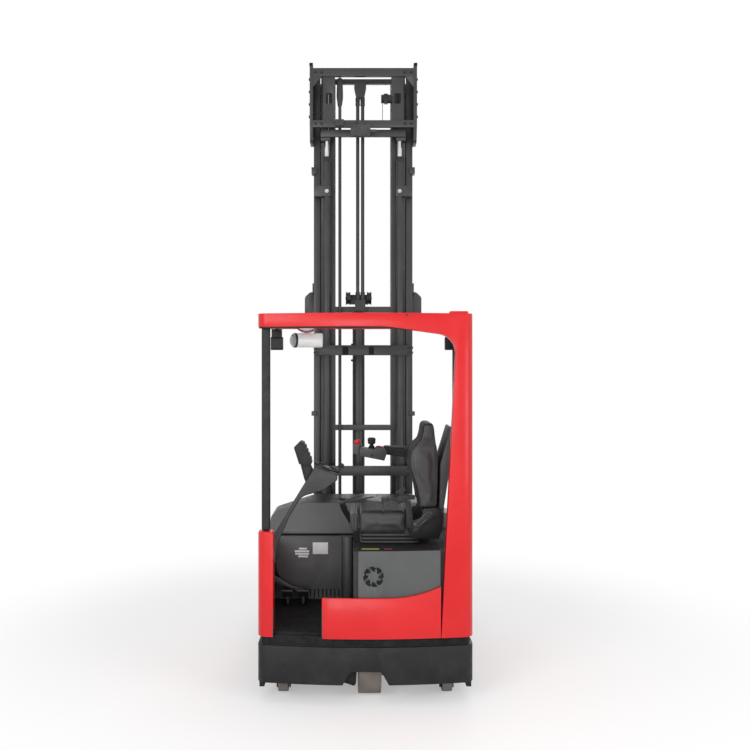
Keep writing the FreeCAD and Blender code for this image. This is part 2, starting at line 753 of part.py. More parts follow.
def castor(side):
    """Swivel fork and its wheel; the wheel trails ahead of the swivel axis."""
    x = side * castor_x
    axle_y = castor_y + castor_trail
    axle_z = castor_radius + castor_lift
    cheek_x = castor_width / 2 + run_gap
    plates = []
    for hand in (-1, 1):
        x0, x1 = sorted((x + hand * cheek_x, x + hand * (cheek_x + 8)))
        plates.append(prism([(castor_y - 42, 172), (castor_y - 30, 120), (axle_y - 20, 58), (axle_y - 10, 50),
                             (axle_y + 12, 50), (axle_y + 22, 58), (castor_y + 46, 172)], "YZ", x0, x1))
    half = cheek_x + 8
    crown = box(x - half, x + half, castor_y - 42, castor_y + 46, castor_crown - 12, castor_crown)
    stem = bar(castor_stem, (x, castor_y, castor_crown - 6), (x, castor_y, castor_stem_top))
    axle = bar(castor_bore - seat_gap, (x - cheek_x - 1, axle_y, axle_z), (x + cheek_x + 1, axle_y, axle_z))
    fork = join(plates + [crown, stem, axle])
    return fork, wheel(castor_radius, castor_width, castor_bore, (x, axle_y, axle_z), 0)


def straddle_arm():
    """Right-hand arm; the left one is its mirror image."""
    end = straddle_front
    beam = prism([(chassis_front, arm_bottom), (end - 60, arm_bottom, 30), (end, arm_bottom + 70, 30),
                  (end, arm_top - 60, 30), (end - 60, arm_top, 40), (chassis_front, arm_top)],
                 "YZ", arm_inner, body_half)
    rail = box(arm_inner - 1, arm_inner + rail_depth, chassis_front - 1, rail_end,
               rail_centre - rail_height / 2, rail_centre + rail_height / 2)
    half = load_wheel_width / 2 + run_gap
    reach = load_wheel_radius + run_gap + 4
    roof = load_wheel_radius * 2 + run_gap
    y = load_wheel_y
    pocket = prism([(y - reach, 0), (y - reach, roof, 40), (y + reach, roof, 40), (y + reach, 0)],
                   "YZ", load_wheel_x - half, load_wheel_x + half)
    axle = bar(load_bore - seat_gap, (load_wheel_x - half - 1, y, load_wheel_radius),
               (load_wheel_x + half + 1, y, load_wheel_radius))
    return join([cut(beam, [rail, pocket]), axle])


def ram(radius, rod_radius, start, end, closed):
    """Cylinder barrel closed at its start, with a plain bore that its rod runs in."""
    start = Vector(start)
    along = Vector(end) - start
    along.normalize()
    return bar(radius, start, end).cut(bar(rod_radius + seat_gap, start + along * closed, end))


def reach_cylinder():
    z = reach_z
    barrel = ram(38.0, reach_rod_radius, (0, cross_y + 50, z), (0, chassis_front - 10, z), 20)
    lug = box(-20, 20, cross_y + plate + seat_gap, cross_y + 52, z - 24, z + 24)
    return join([barrel, lug])


def reach_rod():
    return bar(reach_rod_radius, (0, cross_y + 80, reach_z), (0, carriage_rear, reach_z))


# ---- mast

def channel(inner, z0, z1):
    """Right-hand upright: a channel that opens towards the middle of the truck."""
    outer_edge = inner + channel_width
    web = outer_edge - channel_web
    rear = mast_rear
    front = mast_rear + channel_depth
    flange = channel_flange
    root = channel_root
    return prism([(inner, rear), (outer_edge, rear), (outer_edge, front), (inner, front),
                  (inner, front - flange), (web - root, front - flange), (web, front - flange - root),
                  (web, rear + flange + root), (web - root, rear + flange), (inner, rear + flange)],
                 "XY", z0, z1)


def roller(inner, z, stub_from):
    """Roller that runs in the channel with the given inner edge, on a stub from inside."""
    radius = channel_depth / 2 - channel_flange - roller_gap
    x1 = inner + channel_width - channel_web - channel_root - 0.5
    y = mast_rear + channel_depth / 2
    disc = bar(radius, (x1 - roller_width, y, z), (x1, y, z))
    stub = box(stub_from, x1 - roller_width + 1, y - 26, y + 26, z - 26, z + 26)
    return [disc, stub]


def both(shapes):
    return shapes + [mirrored(shape) for shape in shapes]


def outer_mast():
    """Fixed stage: two uprights, joined behind by two cross bars on stand-offs."""
    right = [channel(outer_x, outer_bottom, mast_top)]
    parts = []
    web = outer_x + channel_width - channel_web
    for z0, z1 in outer_bars:
        right.append(box(web - 22, web - 4, bar_rear + 22, mast_rear + 1, z0, z1))
        parts.append(box(-web + 4, web - 4, bar_rear, bar_rear + 24, z0, z1))
    return join(both(right) + parts)


def mast_crosshead():
    """Head that ties the uprights: side plates, two cross bars, corner gussets and the window plates."""
    edge = outer_x + channel_width + seat_gap
    rear = head_rear
    step = rear + 45
    front = mast_rear + 150
    right = [prism([(rear, 3720), (rear, 4150, 12), (step, 4150, 12), (step, 4110, 20), (front, mast_top),
                    (front, 3640), (mast_rear + 40, 3588, 30), (step, 3588, 30)], "YZ", edge, edge + 24)]
    window_edge = edge - 72
    window = box(window_edge - 85, window_edge, rear + 12, rear + 28, 3730, 4060)
    right.append(window.cut(box(window_edge - 66, window_edge - 20, rear, rear + 40, 3860, 3935)))
    right.append(prism([(edge + 1, 4055), (edge + 1, 3975), (edge - 64, 4055)], "XZ", rear + 4, rear + 26))
    parts = both(right)
    for z0, z1 in head_bars:
        parts.append(box(-edge - 1, edge + 1, rear + 2, rear + 30, z0, z1))
    return join(parts)


def mast_brackets():
    """Cheeks, hose clamps and cylinder brackets bolted to the outer uprights."""
    edge = outer_x + channel_width + seat_gap
    rear = mast_rear - seat_gap
    cheek = edge + 68
    right = [prism([(edge, 2350), (cheek, 2350), (cheek, 2480, 36), (cheek - 40, 2516, 20), (edge, 2516)],
                   "XZ", mast_rear + 31, mast_rear + 45)]
    right.append(box(edge, edge + 10, mast_rear, mast_rear + 30, 2510, 2578))
    for z0, z1 in ((3379, 3426), (1607, 1639)):
        back = box(edge - 22, edge + 16, rear - 18, rear, z0, z1)
        right.append(join([back, box(edge, edge + 16, rear - 18, mast_rear + 60, z0, z1)]))
    # the lift cylinder is held high up by a bracket that reaches behind the middle stage
    z0, z1 = 3204, 3281
    joint = mast_rear - run_gap
    bracket = box(cylinder_x - 27, edge - 6, cylinder_y - cylinder_radius, joint, z0, z1)
    bore = bar(cylinder_radius + seat_gap, (cylinder_x, cylinder_y, z0 - 1), (cylinder_x, cylinder_y, z1 + 1))
    right.append(join([bracket.cut(bore), box(outer_x + 4, edge - 6, joint - 1, rear, z0, z1)]))
    return both(right)


def reach_carriage():
    """Carriage that the mast stands on, with rollers in the rails of the straddle arms."""
    z = rail_centre
    edge = outer_x + channel_width
    rear = carriage_rear
    bottom = carriage_bottom
    right = [prism([(rear, bottom), (rear, 420), (rear + 24, 464), (mast_rear - 20, 640, 80),
                    (mast_rear + channel_depth, 640), (carriage_front, 420, 60), (carriage_front, bottom)],
                   "YZ", edge + seat_gap, edge + 20)]
    right.append(box(edge + 19, carriage_half, rear, carriage_roller_y[1] + 25, z - 26, z + 26))
    radius = rail_height / 2 - roller_gap
    for y in carriage_roller_y:
        right.append(box(carriage_half - 1, arm_inner + 4, y - 14, y + 14, z - 14, z + 14))
        right.append(bar(radius, (arm_inner + 3, y, z), (arm_inner + rail_depth - 4, y, z)))
    mast_front = mast_rear + channel_depth
    right.append(box(outer_x, edge + 1, mast_rear, mast_front, bottom, outer_bottom - seat_gap))
    # the lift cylinder stands on a shelf with a leg under it
    x = cylinder_x
    shelf_front = cylinder_y + 30
    shelf = cylinder_bottom - 30
    right.append(box(x - 30, x + 30, rear + 20, shelf_front, shelf, cylinder_bottom - seat_gap))
    right.append(box(x - 30, x + 30, cylinder_y + 10, shelf_front, bottom + 37, shelf + 1))
    parts = both(right)
    parts.append(box(-edge - 1, edge + 1, rear, rear + 30, bottom + 20, cylinder_bottom - 8))
    parts.append(box(-edge - 1, edge + 1, rear + 29, shelf_front, bottom + 20, bottom + 38))
    return join(parts)


def lift_cylinders():
    tubes = []
    for side in (-1, 1):
        x = side * cylinder_x
        tubes.append(ram(cylinder_radius, lift_rod_radius, (x, cylinder_y, cylinder_bottom),
                         (x, cylinder_y, cylinder_top), 20))
    return tubes


def lift_rods():
    rods = []
    for side in (-1, 1):
        x = side * cylinder_x
        top = lift_rod_top - seat_gap
        rods.append(bar(lift_rod_radius, (x, cylinder_y, lift_rod_bottom), (x, cylinder_y, top)))
    return rods


def middle_mast():
    """Second stage: uprights, rollers, the heads that the lift rods push on, tie bars and the hose pulley."""
    right = [channel(middle_x, middle_bottom, mast_top - 4)]
    edge = middle_x + channel_width
    right += roller(outer_x, middle_bottom + 80, edge - 1)
    rear = tie_rear
    head_top = lift_rod_top + 82
    low, high = tie_bars
    x0 = cylinder_x - 25
    right.append(box(x0, edge, cylinder_y - cylinder_radius, mast_rear - run_gap, lift_rod_top, head_top))
    right.append(box(middle_x, edge, mast_rear - run_gap - 1, mast_rear + 1, lift_rod_top, head_top))
    right.append(box(x0, edge, rear, cylinder_y - cylinder_radius + 1, high[0], high[1]))
    right.append(box(edge - 11, edge, rear, mast_rear + 1, low[0], low[1]))
    parts = both(right)
    parts.append(box(-edge + 5, edge - 5, rear, rear + 22, high[0], high[1]))
    parts.append(box(-edge + 5, edge - 5, rear, rear + 18, low[0], low[1]))
    # strap and housing of the hose pulley
    parts.append(box(hose_x - 8, hose_x + 8, rear, rear + 18, high[1] - 1, pulley_top))
    parts.append(prism([(hose_x - 16, pulley_bottom, 6), (hose_x + 16, pulley_bottom, 6),
                        (hose_x + 24, pulley_bottom + 62, 20), (hose_x + 20, pulley_top, 8),
                        (hose_x - 20, pulley_top, 8), (hose_x - 24, pulley_bottom + 62, 20)],
                       "XZ", rear + 17, rear + 72))
    return join(parts)


def inner_mast():
    """Third stage: uprights, rollers, cross bars, and the foot and collar of the free-lift cylinder."""
    right = [channel(inner_x, inner_bottom, mast_top - 8)]
    edge = inner_x + channel_width
    right += roller(middle_x, inner_bottom + 80, edge - 1)
    parts = both(right)
    collar = free_tube_top - 36
    for z0, z1 in ((4040, 4077), (collar, collar + 43), (1500, 1540), (240, free_tube_bottom - seat_gap)):
        parts.append(box(-inner_x - 1, inner_x + 1, mast_rear, mast_rear + 24, z0, z1))
    rear = mast_rear + 23
    parts.append(box(free_x - 60, free_x + 60, rear, free_y + free_radius, 262, free_tube_bottom - seat_gap))
    parts.append(box(free_x - 40, free_x + 40, rear, free_y - free_radius - seat_gap, collar, free_tube_top))
    return join(parts)


def free_cylinder():
    foot = (free_x, free_y, free_tube_bottom)
    return ram(free_radius, free_rod_radius, foot, (free_x, free_y, free_tube_top), 20)


def free_rod():
    """Rod of the free-lift cylinder with its head and the two chain sheaves."""
    rod = bar(free_rod_radius, (free_x, free_y, free_rod_bottom), (free_x, free_y, free_tube_top + 60))
    head = box(free_x - 62, free_x + 62, free_y - 22, free_y + 22, free_tube_top + 30, free_tube_top + 100)
    axle_z = free_tube_top + 75
    parts = [rod, head, bar(9.0, (free_x - 98, free_y, axle_z), (free_x + 98, free_y, axle_z))]
    for side in (-1, 1):
        x = free_x + side * 78
        sheave = bar(50.0, (x - 17, free_y, axle_z), (x + 17, free_y, axle_z))
        groove = pipe(51.0, 44.0, (x - 11, free_y, axle_z), (x + 11, free_y, axle_z))
        parts.append(sheave.cut(groove))
    return join(parts)


def mast_hoses():
    """Supply hose behind the middle stage, and the pair that rides on the inner stage."""
    supply = bar(11.5, (hose_x, hose_y, 480), (hose_x, hose_y, pulley_bottom - seat_gap))
    pair = []
    for x in pair_x:
        pair.append(bar(12.5, (x, pair_y, 2410), (x, pair_y, 3926)))
    front = mast_rear - seat_gap
    heads = prism([(-62, 4050), (-66, 4000), (-50, 3926), (8, 3926), (22, 4000), (18, 4050)],
                  "XZ", pair_y - 14, front)
    foot = box(-60, 16, pair_y - 20, front, 2372, 2450)
    return supply, join(pair + [heads, foot])


def valve_block():
    """Valve block on the lower head bar with its fitting, and the clip of the supply hose."""
    front = head_rear + 2 - seat_gap
    lower = head_bars[0][0]
    block = box(-92, 51, front - 35.7, front, lower - 76, lower + 12)
    block = soften(block, 4.0, lambda edge: is_along(edge, Vector(1, 0, 0))
                   and edge.BoundBox.YMax < front - 31)
    fitting = box(50, 96, front - 28, front - 10, lower - 42, lower - 24)
    ear = box(-40, 10, front - 22, front, lower + 11, lower + 42)
    clip = box(hose_x - 30, hose_x + 30, front - 32, front, lower + 2, lower + 48)
    return [join([block, fitting, ear]), clip]


def height_sensor():
    """Drum with a measuring cord that hangs beside the crosshead window."""
    y = head_rear - 2
    z = 3888
    window = outer_x + channel_width + seat_gap - 157
    drum = bar(30.0, (128, y, z), (window - seat_gap, y, z))
    clamp = box(146, 176, y - 34, y + 34, z - 28, z + 28)
    cord = box(136, 140, y + 10, y + 14, head_bars[0][1] + seat_gap, z - 18)
    return join([drum, clamp, cord])


# ---- fork carriage

def fork_carriage():
    """Plates and rollers inside the inner stage, with the lugs that carry the tilting frame."""
    web = inner_x - run_gap
    right = [box(web - 20, web, mast_rear + 50, plate_front, tilt_z - 26, 840)]
    for z in (410, 760):
        right += roller(inner_x, z, web - 1)
    x = 120
    lug = 26
    rear = plate_front - 6
    right.append(prism([(rear, tilt_z - lug), (tilt_y + lug, tilt_z - lug, lug - 0.1),
                        (tilt_y + lug, tilt_z + lug, lug - 0.1), (rear, tilt_z + lug)], "YZ", x - 14, x + 14))
    parts = both(right)
    for z0, z1 in ((tilt_z - 26, 330), (560, 610), (780, 840)):
        parts.append(box(-web + 19, web - 19, plate_front - 30, plate_front, z0, z1))
    parts.append(box(-60, 60, plate_front - 56, plate_front + 1, 760, 800))
    return join(parts).cut(bar(12.0 + seat_gap, (-160, tilt_y, tilt_z), (160, tilt_y, tilt_z)))


def tilt_frame():
    """Frame that swings on the carriage lugs and carries the two rails of the side shift."""
    rear = tilt_y - 18
    right = [prism([(rear, tilt_z - 90), (rear, tilt_z + 30, 20), (tilt_y + 6, 470, 20), (tilt_y + 6, 520),
                    (tilt_y + 30, 520), (tilt_y + 30, tilt_z - 90)], "YZ", 138, 162)]
    parts = both(right)
    parts.append(bar(12.0, (-162, tilt_y, tilt_z), (162, tilt_y, tilt_z)))
    for z0, z1 in slide_rails:
        parts.append(box(-250, 250, tilt_y + 26, tilt_y + 46, z0, z1))
    parts.append(box(-162, 162, tilt_y + 8, tilt_y + 27, 470, 520))
    return join(parts)


def fork_bar():
    """Fork bars that slide along the tilting frame, hooked over its upper rail and under its lower one."""
    parts = []
    low, high = slide_rails
    rear = tilt_y + 46 + seat_gap
    for z0, z1 in slide_rails:
        parts.append(box(-fork_bar_half, fork_bar_half, rear, fork_rear, z0 - 6, z1 + 6))
    parts.append(box(-200, 200, tilt_y + 32, rear + 2, high[1] + seat_gap, high[1] + 14))
    parts.append(box(-200, 200, tilt_y + 32, rear + 2, low[0] - 14, low[0] - seat_gap))
    for side in (-1, 1):
        x = side * 200
        parts.append(box(x - 15, x + 15, rear + 6, fork_rear - 6, low[1], high[0]))
    return join(parts)


def fork_blade(side):
    x0 = side * fork_centre - fork_width / 2
    x1 = x0 + fork_width
    rear = fork_rear + seat_gap
    front = rear + fork_thickness + fork_length
    face = rear + fork_thickness
    top = fork_low + fork_thickness
    body = prism([(rear, fork_low, 24), (rear, fork_shank_top, 4), (face, fork_shank_top, 6), (face, top, 14),
                  (front - 420, top, 300), (front, fork_low + 13, 4), (front, fork_low, 3)], "YZ", x0, x1)
    plan = prism([(x0, rear - 5), (x1, rear - 5), (x1, front - 180, 60), (x1 - 32, front, 24),
                  (x0 + 32, front, 24), (x0, front - 180, 60)], "XY", 0, 1000)
    return body.common(plan)


# ---- all nodes

def build():
    nodes = {}
    nodes["chassis"] = chassis()
    nodes["floor_plate"] = floor_plate()
    nodes["rear_panel"] = rear_panel()
    nodes["corner_column"] = corner_column()
    nodes["side_panels"] = Part.makeCompound(side_panels())
    nodes["battery"] = battery()
    nodes["hood"] = hood()
    nodes["bulkhead_cover"] = bulkhead_cover()
    nodes["motor_cover"] = motor_cover()
    nodes["cover_post"] = cover_post()
    nodes["guard_frame"] = guard_frame()
    nodes["roof_grille"] = Part.makeCompound(roof_grille())
    nodes["guard_post_left"], nodes["guard_post_front"] = guard_posts()
    nodes["cab_lamp"] = cab_lamp()
    nodes["work_lights"] = Part.makeCompound(work_lights())
    nodes["steering_console"] = steering_console()
    nodes["display_unit"] = display_unit()
    nodes["seat_base"] = seat_base()
    nodes["seat_shell"] = seat_shell()
    nodes["back_brace"] = back_brace()
    nodes["seat_cushion"] = seat_cushion()
    nodes["seat_backrest"] = seat_backrest()
    nodes["armrest"] = armrest()
    nodes["stop_buttons"] = Part.makeCompound(stop_buttons())
    nodes["pedals"] = Part.makeCompound(pedals())
    nodes["steering_wheel"] = steering_wheel()
    nodes["drive_unit"] = drive_unit()
    nodes["drive_wheel"] = wheel(drive_wheel_radius, drive_wheel_width, drive_bore,
                                 (drive_x, drive_y, drive_wheel_radius), 14.0)
    for name, side in (("left", -1), ("right", 1)):
        nodes["castor_fork_" + name], nodes["castor_wheel_" + name] = castor(side)
        nodes["load_wheel_" + name] = wheel(load_wheel_radius, load_wheel_width, load_bore,
                                            (side * load_wheel_x, load_wheel_y, load_wheel_radius), 0)
    nodes["straddle_arms"] = Part.makeCompound(both([straddle_arm()]))
    nodes["reach_cylinder"] = reach_cylinder()
    nodes["reach_rod"] = reach_rod()
    nodes["reach_carriage"] = reach_carriage()
    nodes["outer_mast"] = outer_mast()
    nodes["mast_crosshead"] = mast_crosshead()
    nodes["mast_brackets"] = Part.makeCompound(mast_brackets())
    nodes["lift_cylinders"] = Part.makeCompound(lift_cylinders())
    nodes["lift_rods"] = Part.makeCompound(lift_rods())
    nodes["middle_mast"] = middle_mast()
    nodes["inner_mast"] = inner_mast()
    nodes["free_lift_cylinder"] = free_cylinder()
    nodes["free_lift_rod"] = free_rod()
    nodes["supply_hose"], nodes["hose_pair"] = mast_hoses()
    nodes["valve_block"] = Part.makeCompound(valve_block())
    nodes["height_sensor"] = height_sensor()
    nodes["fork_carriage"] = fork_carriage()
    nodes["tilt_frame"] = tilt_frame()
    nodes["fork_bar"] = fork_bar()
    nodes["forks"] = Part.makeCompound([fork_blade(-1), fork_blade(1)])
    return nodes


def main():
    os.makedirs("parts", exist_ok=True)
    nodes = build()
    rear = min(shape.BoundBox.YMin for shape in nodes.values())
    front = max(shape.BoundBox.YMax for shape in nodes.values())
    for name, shape in nodes.items():
        shape = shape.copy()
        shape.translate(Vector(0, -(rear + front) / 2, 0))
        shape.exportStep("parts/" + name + ".step")
    print(len(nodes), "nodes, moved by", -(rear + front) / 2)


main()
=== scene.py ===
import json
from math import cos, exp, pi, radians, sin

import bmesh
import bpy
from mathutils import Matrix, Vector
from mathutils.bvhtree import BVHTree


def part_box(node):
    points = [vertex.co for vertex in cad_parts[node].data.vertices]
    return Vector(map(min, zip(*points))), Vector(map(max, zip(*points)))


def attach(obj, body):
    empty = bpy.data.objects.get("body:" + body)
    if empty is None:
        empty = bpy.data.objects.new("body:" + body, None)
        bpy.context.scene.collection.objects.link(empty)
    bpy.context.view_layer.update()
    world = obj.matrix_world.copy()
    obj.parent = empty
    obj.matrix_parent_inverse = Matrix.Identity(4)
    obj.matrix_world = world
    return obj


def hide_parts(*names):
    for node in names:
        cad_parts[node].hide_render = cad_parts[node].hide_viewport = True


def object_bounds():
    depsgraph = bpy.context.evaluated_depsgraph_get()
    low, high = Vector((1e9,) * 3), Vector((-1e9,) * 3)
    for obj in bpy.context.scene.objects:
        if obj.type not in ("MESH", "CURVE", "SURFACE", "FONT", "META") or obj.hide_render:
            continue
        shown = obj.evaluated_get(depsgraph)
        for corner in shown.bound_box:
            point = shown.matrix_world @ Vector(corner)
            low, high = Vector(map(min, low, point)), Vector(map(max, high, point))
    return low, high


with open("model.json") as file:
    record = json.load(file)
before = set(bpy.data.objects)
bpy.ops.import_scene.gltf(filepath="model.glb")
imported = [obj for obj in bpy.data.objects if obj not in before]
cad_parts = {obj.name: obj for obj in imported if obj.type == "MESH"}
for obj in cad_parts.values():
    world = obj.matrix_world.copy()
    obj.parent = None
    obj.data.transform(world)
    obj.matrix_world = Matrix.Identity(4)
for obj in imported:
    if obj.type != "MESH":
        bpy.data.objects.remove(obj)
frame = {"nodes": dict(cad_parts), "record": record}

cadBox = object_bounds()
nodes = frame["nodes"]
scene = bpy.context.scene
bodyOf = {node: body for body, members in frame["record"]["behaviour"]["bodies"].items() for node in members}
slotOf = {part["node"]: part["material_slot"] for part in frame["record"]["subparts"]}
rearY = cadBox[0].y            # rearmost point of the bulged skirt
cornerY = rearY + 0.0573       # plane of the two rear corners


def at(x, y, z):
    # metres, with y measured forward from the plane of the rear corners
    return Vector((x, cornerY + y, z))


def mm(x, y, z):
    return at(x / 1000, y / 1000, z / 1000)


def circle(steps):
    return [2 * pi * i / steps for i in range(steps)]


def placed(name, data):
    piece = bpy.data.objects.new(name, data)
    scene.collection.objects.link(piece)
    return piece


# camera, light and floor
stageLook = {
    "cameraX": -0.065, "cameraHeight": 1.905, "cameraBack": 5.0, "lens": 41.2, "shiftX": 0.0276,
    "floorSize": 80.0, "floorColour": (0.79, 0.79, 0.795), "floorGlow": 0.345,
    "fadeStart": 1.6, "fadeEnd": 3.4, "worldStrength": 0.44, "lampAim": (0, 0.5, 1.6),
    # place, size and watts of each lamp
    "lamps": {
        "keyLamp": ((-3.5, -5.0, 3.2), 3.0, 145),
        "fillLamp": ((4.5, -3.5, 2.1), 3.0, 100),
        "rearLamp": ((-0.4, -6.5, 1.3), 2.2, 75),
        "topLamp": ((0, 1.0, 7.5), 4.0, 30),
        "frontLamp": ((1.5, 8.0, 4.5), 4.0, 110),
    },
}
white = (1, 1, 1, 1)


def setInputs(node, values):
    # each value is a socket to link, or a number or colour to set
    for socket, value in values.items():
        if isinstance(value, bpy.types.NodeSocket):
            node.id_data.links.new(value, node.inputs[socket])
        else:
            node.inputs[socket].default_value = value


def addNode(owner, kind, values=None, **settings):
    # owner: the node tree, or a socket in it
    node = owner.id_data.nodes.new(kind)
    for name, value in settings.items():
        setattr(node, name, value)
    setInputs(node, values or {})
    return node


def combine(operation, first, second):
    return addNode(first, "ShaderNodeMath", {0: first, 1: second}, operation=operation).outputs[0]


def product(first, second):
    return combine("MULTIPLY", first, second)


def blendShaders(factor, first, second):
    return addNode(factor, "ShaderNodeMixShader", {0: factor, 1: first, 2: second}).outputs[0]


def makeCamera():
    data = bpy.data.cameras.new("camera")
    data.sensor_width = 36.0
    data.lens = stageLook["lens"]
    data.shift_x = stageLook["shiftX"]
    data.clip_end = 200.0
    camera = placed("camera", data)
    camera.location = at(stageLook["cameraX"], -stageLook["cameraBack"], stageLook["cameraHeight"])
    camera.rotation_euler = (radians(90), 0, 0)
    scene.camera = camera


def seenRays(owner):
    # 1 for camera, glossy and transmission rays, which see the white background
    path = addNode(owner, "ShaderNodeLightPath").outputs
    seen = combine("MAXIMUM", path["Is Camera Ray"], path["Is Glossy Ray"])
    return combine("MAXIMUM", seen, path["Is Transmission Ray"])


def makeWorld():
    world = bpy.data.worlds.new("studio")
    world.use_nodes = True
    tree = world.node_tree
    tree.nodes.clear()
    lit, seen = (addNode(tree, "ShaderNodeBackground", {"Color": white, "Strength": strength}).outputs[0]
                 for strength in (stageLook["worldStrength"], 1.0))
    addNode(tree, "ShaderNodeOutputWorld", {"Surface": blendShaders(seenRays(tree), lit, seen)})
    scene.world = world


def makeFloor():
    # pale floor that keeps the shadow near the truck and runs out to plain white further off
    half = stageLook["floorSize"] / 2
    mesh = bpy.data.meshes.new("floor")
    corners = [(-half, -half, 0), (half, -half, 0), (half, half, 0), (-half, half, 0)]
    mesh.from_pydata(corners, [], [(0, 1, 2, 3)])
    floor = placed("floor", mesh)
    material, shader, place = startMaterial("paleFloor")
    setInputs(shader, {"Base Color": (*stageLook["floorColour"], 1), "Roughness": 0.9,
                       "Specular IOR Level": 0.1})
    rays = seenRays(place)
    strength = product(rays, stageLook["floorGlow"])
    glow = addNode(place, "ShaderNodeEmission", {"Color": white, "Strength": strength})
    near = addNode(place, "ShaderNodeAddShader", {0: shader.outputs[0], 1: glow.outputs[0]})
    far = addNode(place, "ShaderNodeEmission", {"Color": white})
    distance = addNode(place, "ShaderNodeVectorMath", {0: place}, operation="LENGTH").outputs["Value"]
    fade = rampValue(distance, stageLook["fadeStart"], stageLook["fadeEnd"], 0, 1)
    mixed = blendShaders(product(fade, rays), near.outputs[0], far.outputs[0])
    setInputs(material.node_tree.nodes["Material Output"], {"Surface": mixed})
    mesh.materials.append(material)


def makeLights():
    middle = at(*stageLook["lampAim"])
    for name, (place, size, watts) in stageLook["lamps"].items():
        data = bpy.data.lights.new(name, "AREA")
        data.shape = "RECTANGLE"
        data.size = data.size_y = size
        data.energy = watts
        lamp = placed(name, data)
        lamp.location = at(*place)
        lamp.rotation_euler = (middle - at(*place)).to_track_quat("-Z", "Y").to_euler()


def startMaterial(name):
    material = bpy.data.materials.new(name)
    material.use_nodes = True
    nodesOf = material.node_tree.nodes
    return material, nodesOf["Principled BSDF"], nodesOf.new("ShaderNodeTexCoord").outputs["Object"]


def rampValue(value, fromLow, fromHigh, toLow, toHigh):
    values = {"From Min": fromLow, "From Max": fromHigh, "To Min": toLow, "To Max": toHigh, "Value": value}
    return addNode(value, "ShaderNodeMapRange", values, interpolation_type="SMOOTHSTEP").outputs["Result"]


def stretched(place, scale):
    return addNode(place, "ShaderNodeMapping", {"Scale": scale, "Vector": place}).outputs["Vector"]


def addNoise(place, scale, detail=4.0, roughness=0.55):
    values = {"Scale": scale, "Detail": detail, "Roughness": roughness, "Vector": place}
    return addNode(place, "ShaderNodeTexNoise", values).outputs["Fac"]


def addCloud(place, scale, detail=4.0):
    return rampValue(addNoise(place, scale, detail), 0.3, 0.7, 0, 1)


def mixColour(factor, first, second):
    colours = {socket: (*value, 1) if isinstance(value, tuple) else value
               for socket, value in ((6, first), (7, second))}
    return addNode(factor, "ShaderNodeMix", {0: factor, **colours}, data_type="RGBA").outputs[2]


def axisOf(place, axis):
    return addNode(place, "ShaderNodeSeparateXYZ", {0: place}).outputs[axis]


def addBump(height, strength, distance, below=None):
    values = {"Strength": strength, "Distance": distance, "Height": height}
    if below is not None:
        values["Normal"] = below
    return addNode(height, "ShaderNodeBump", values).outputs["Normal"]


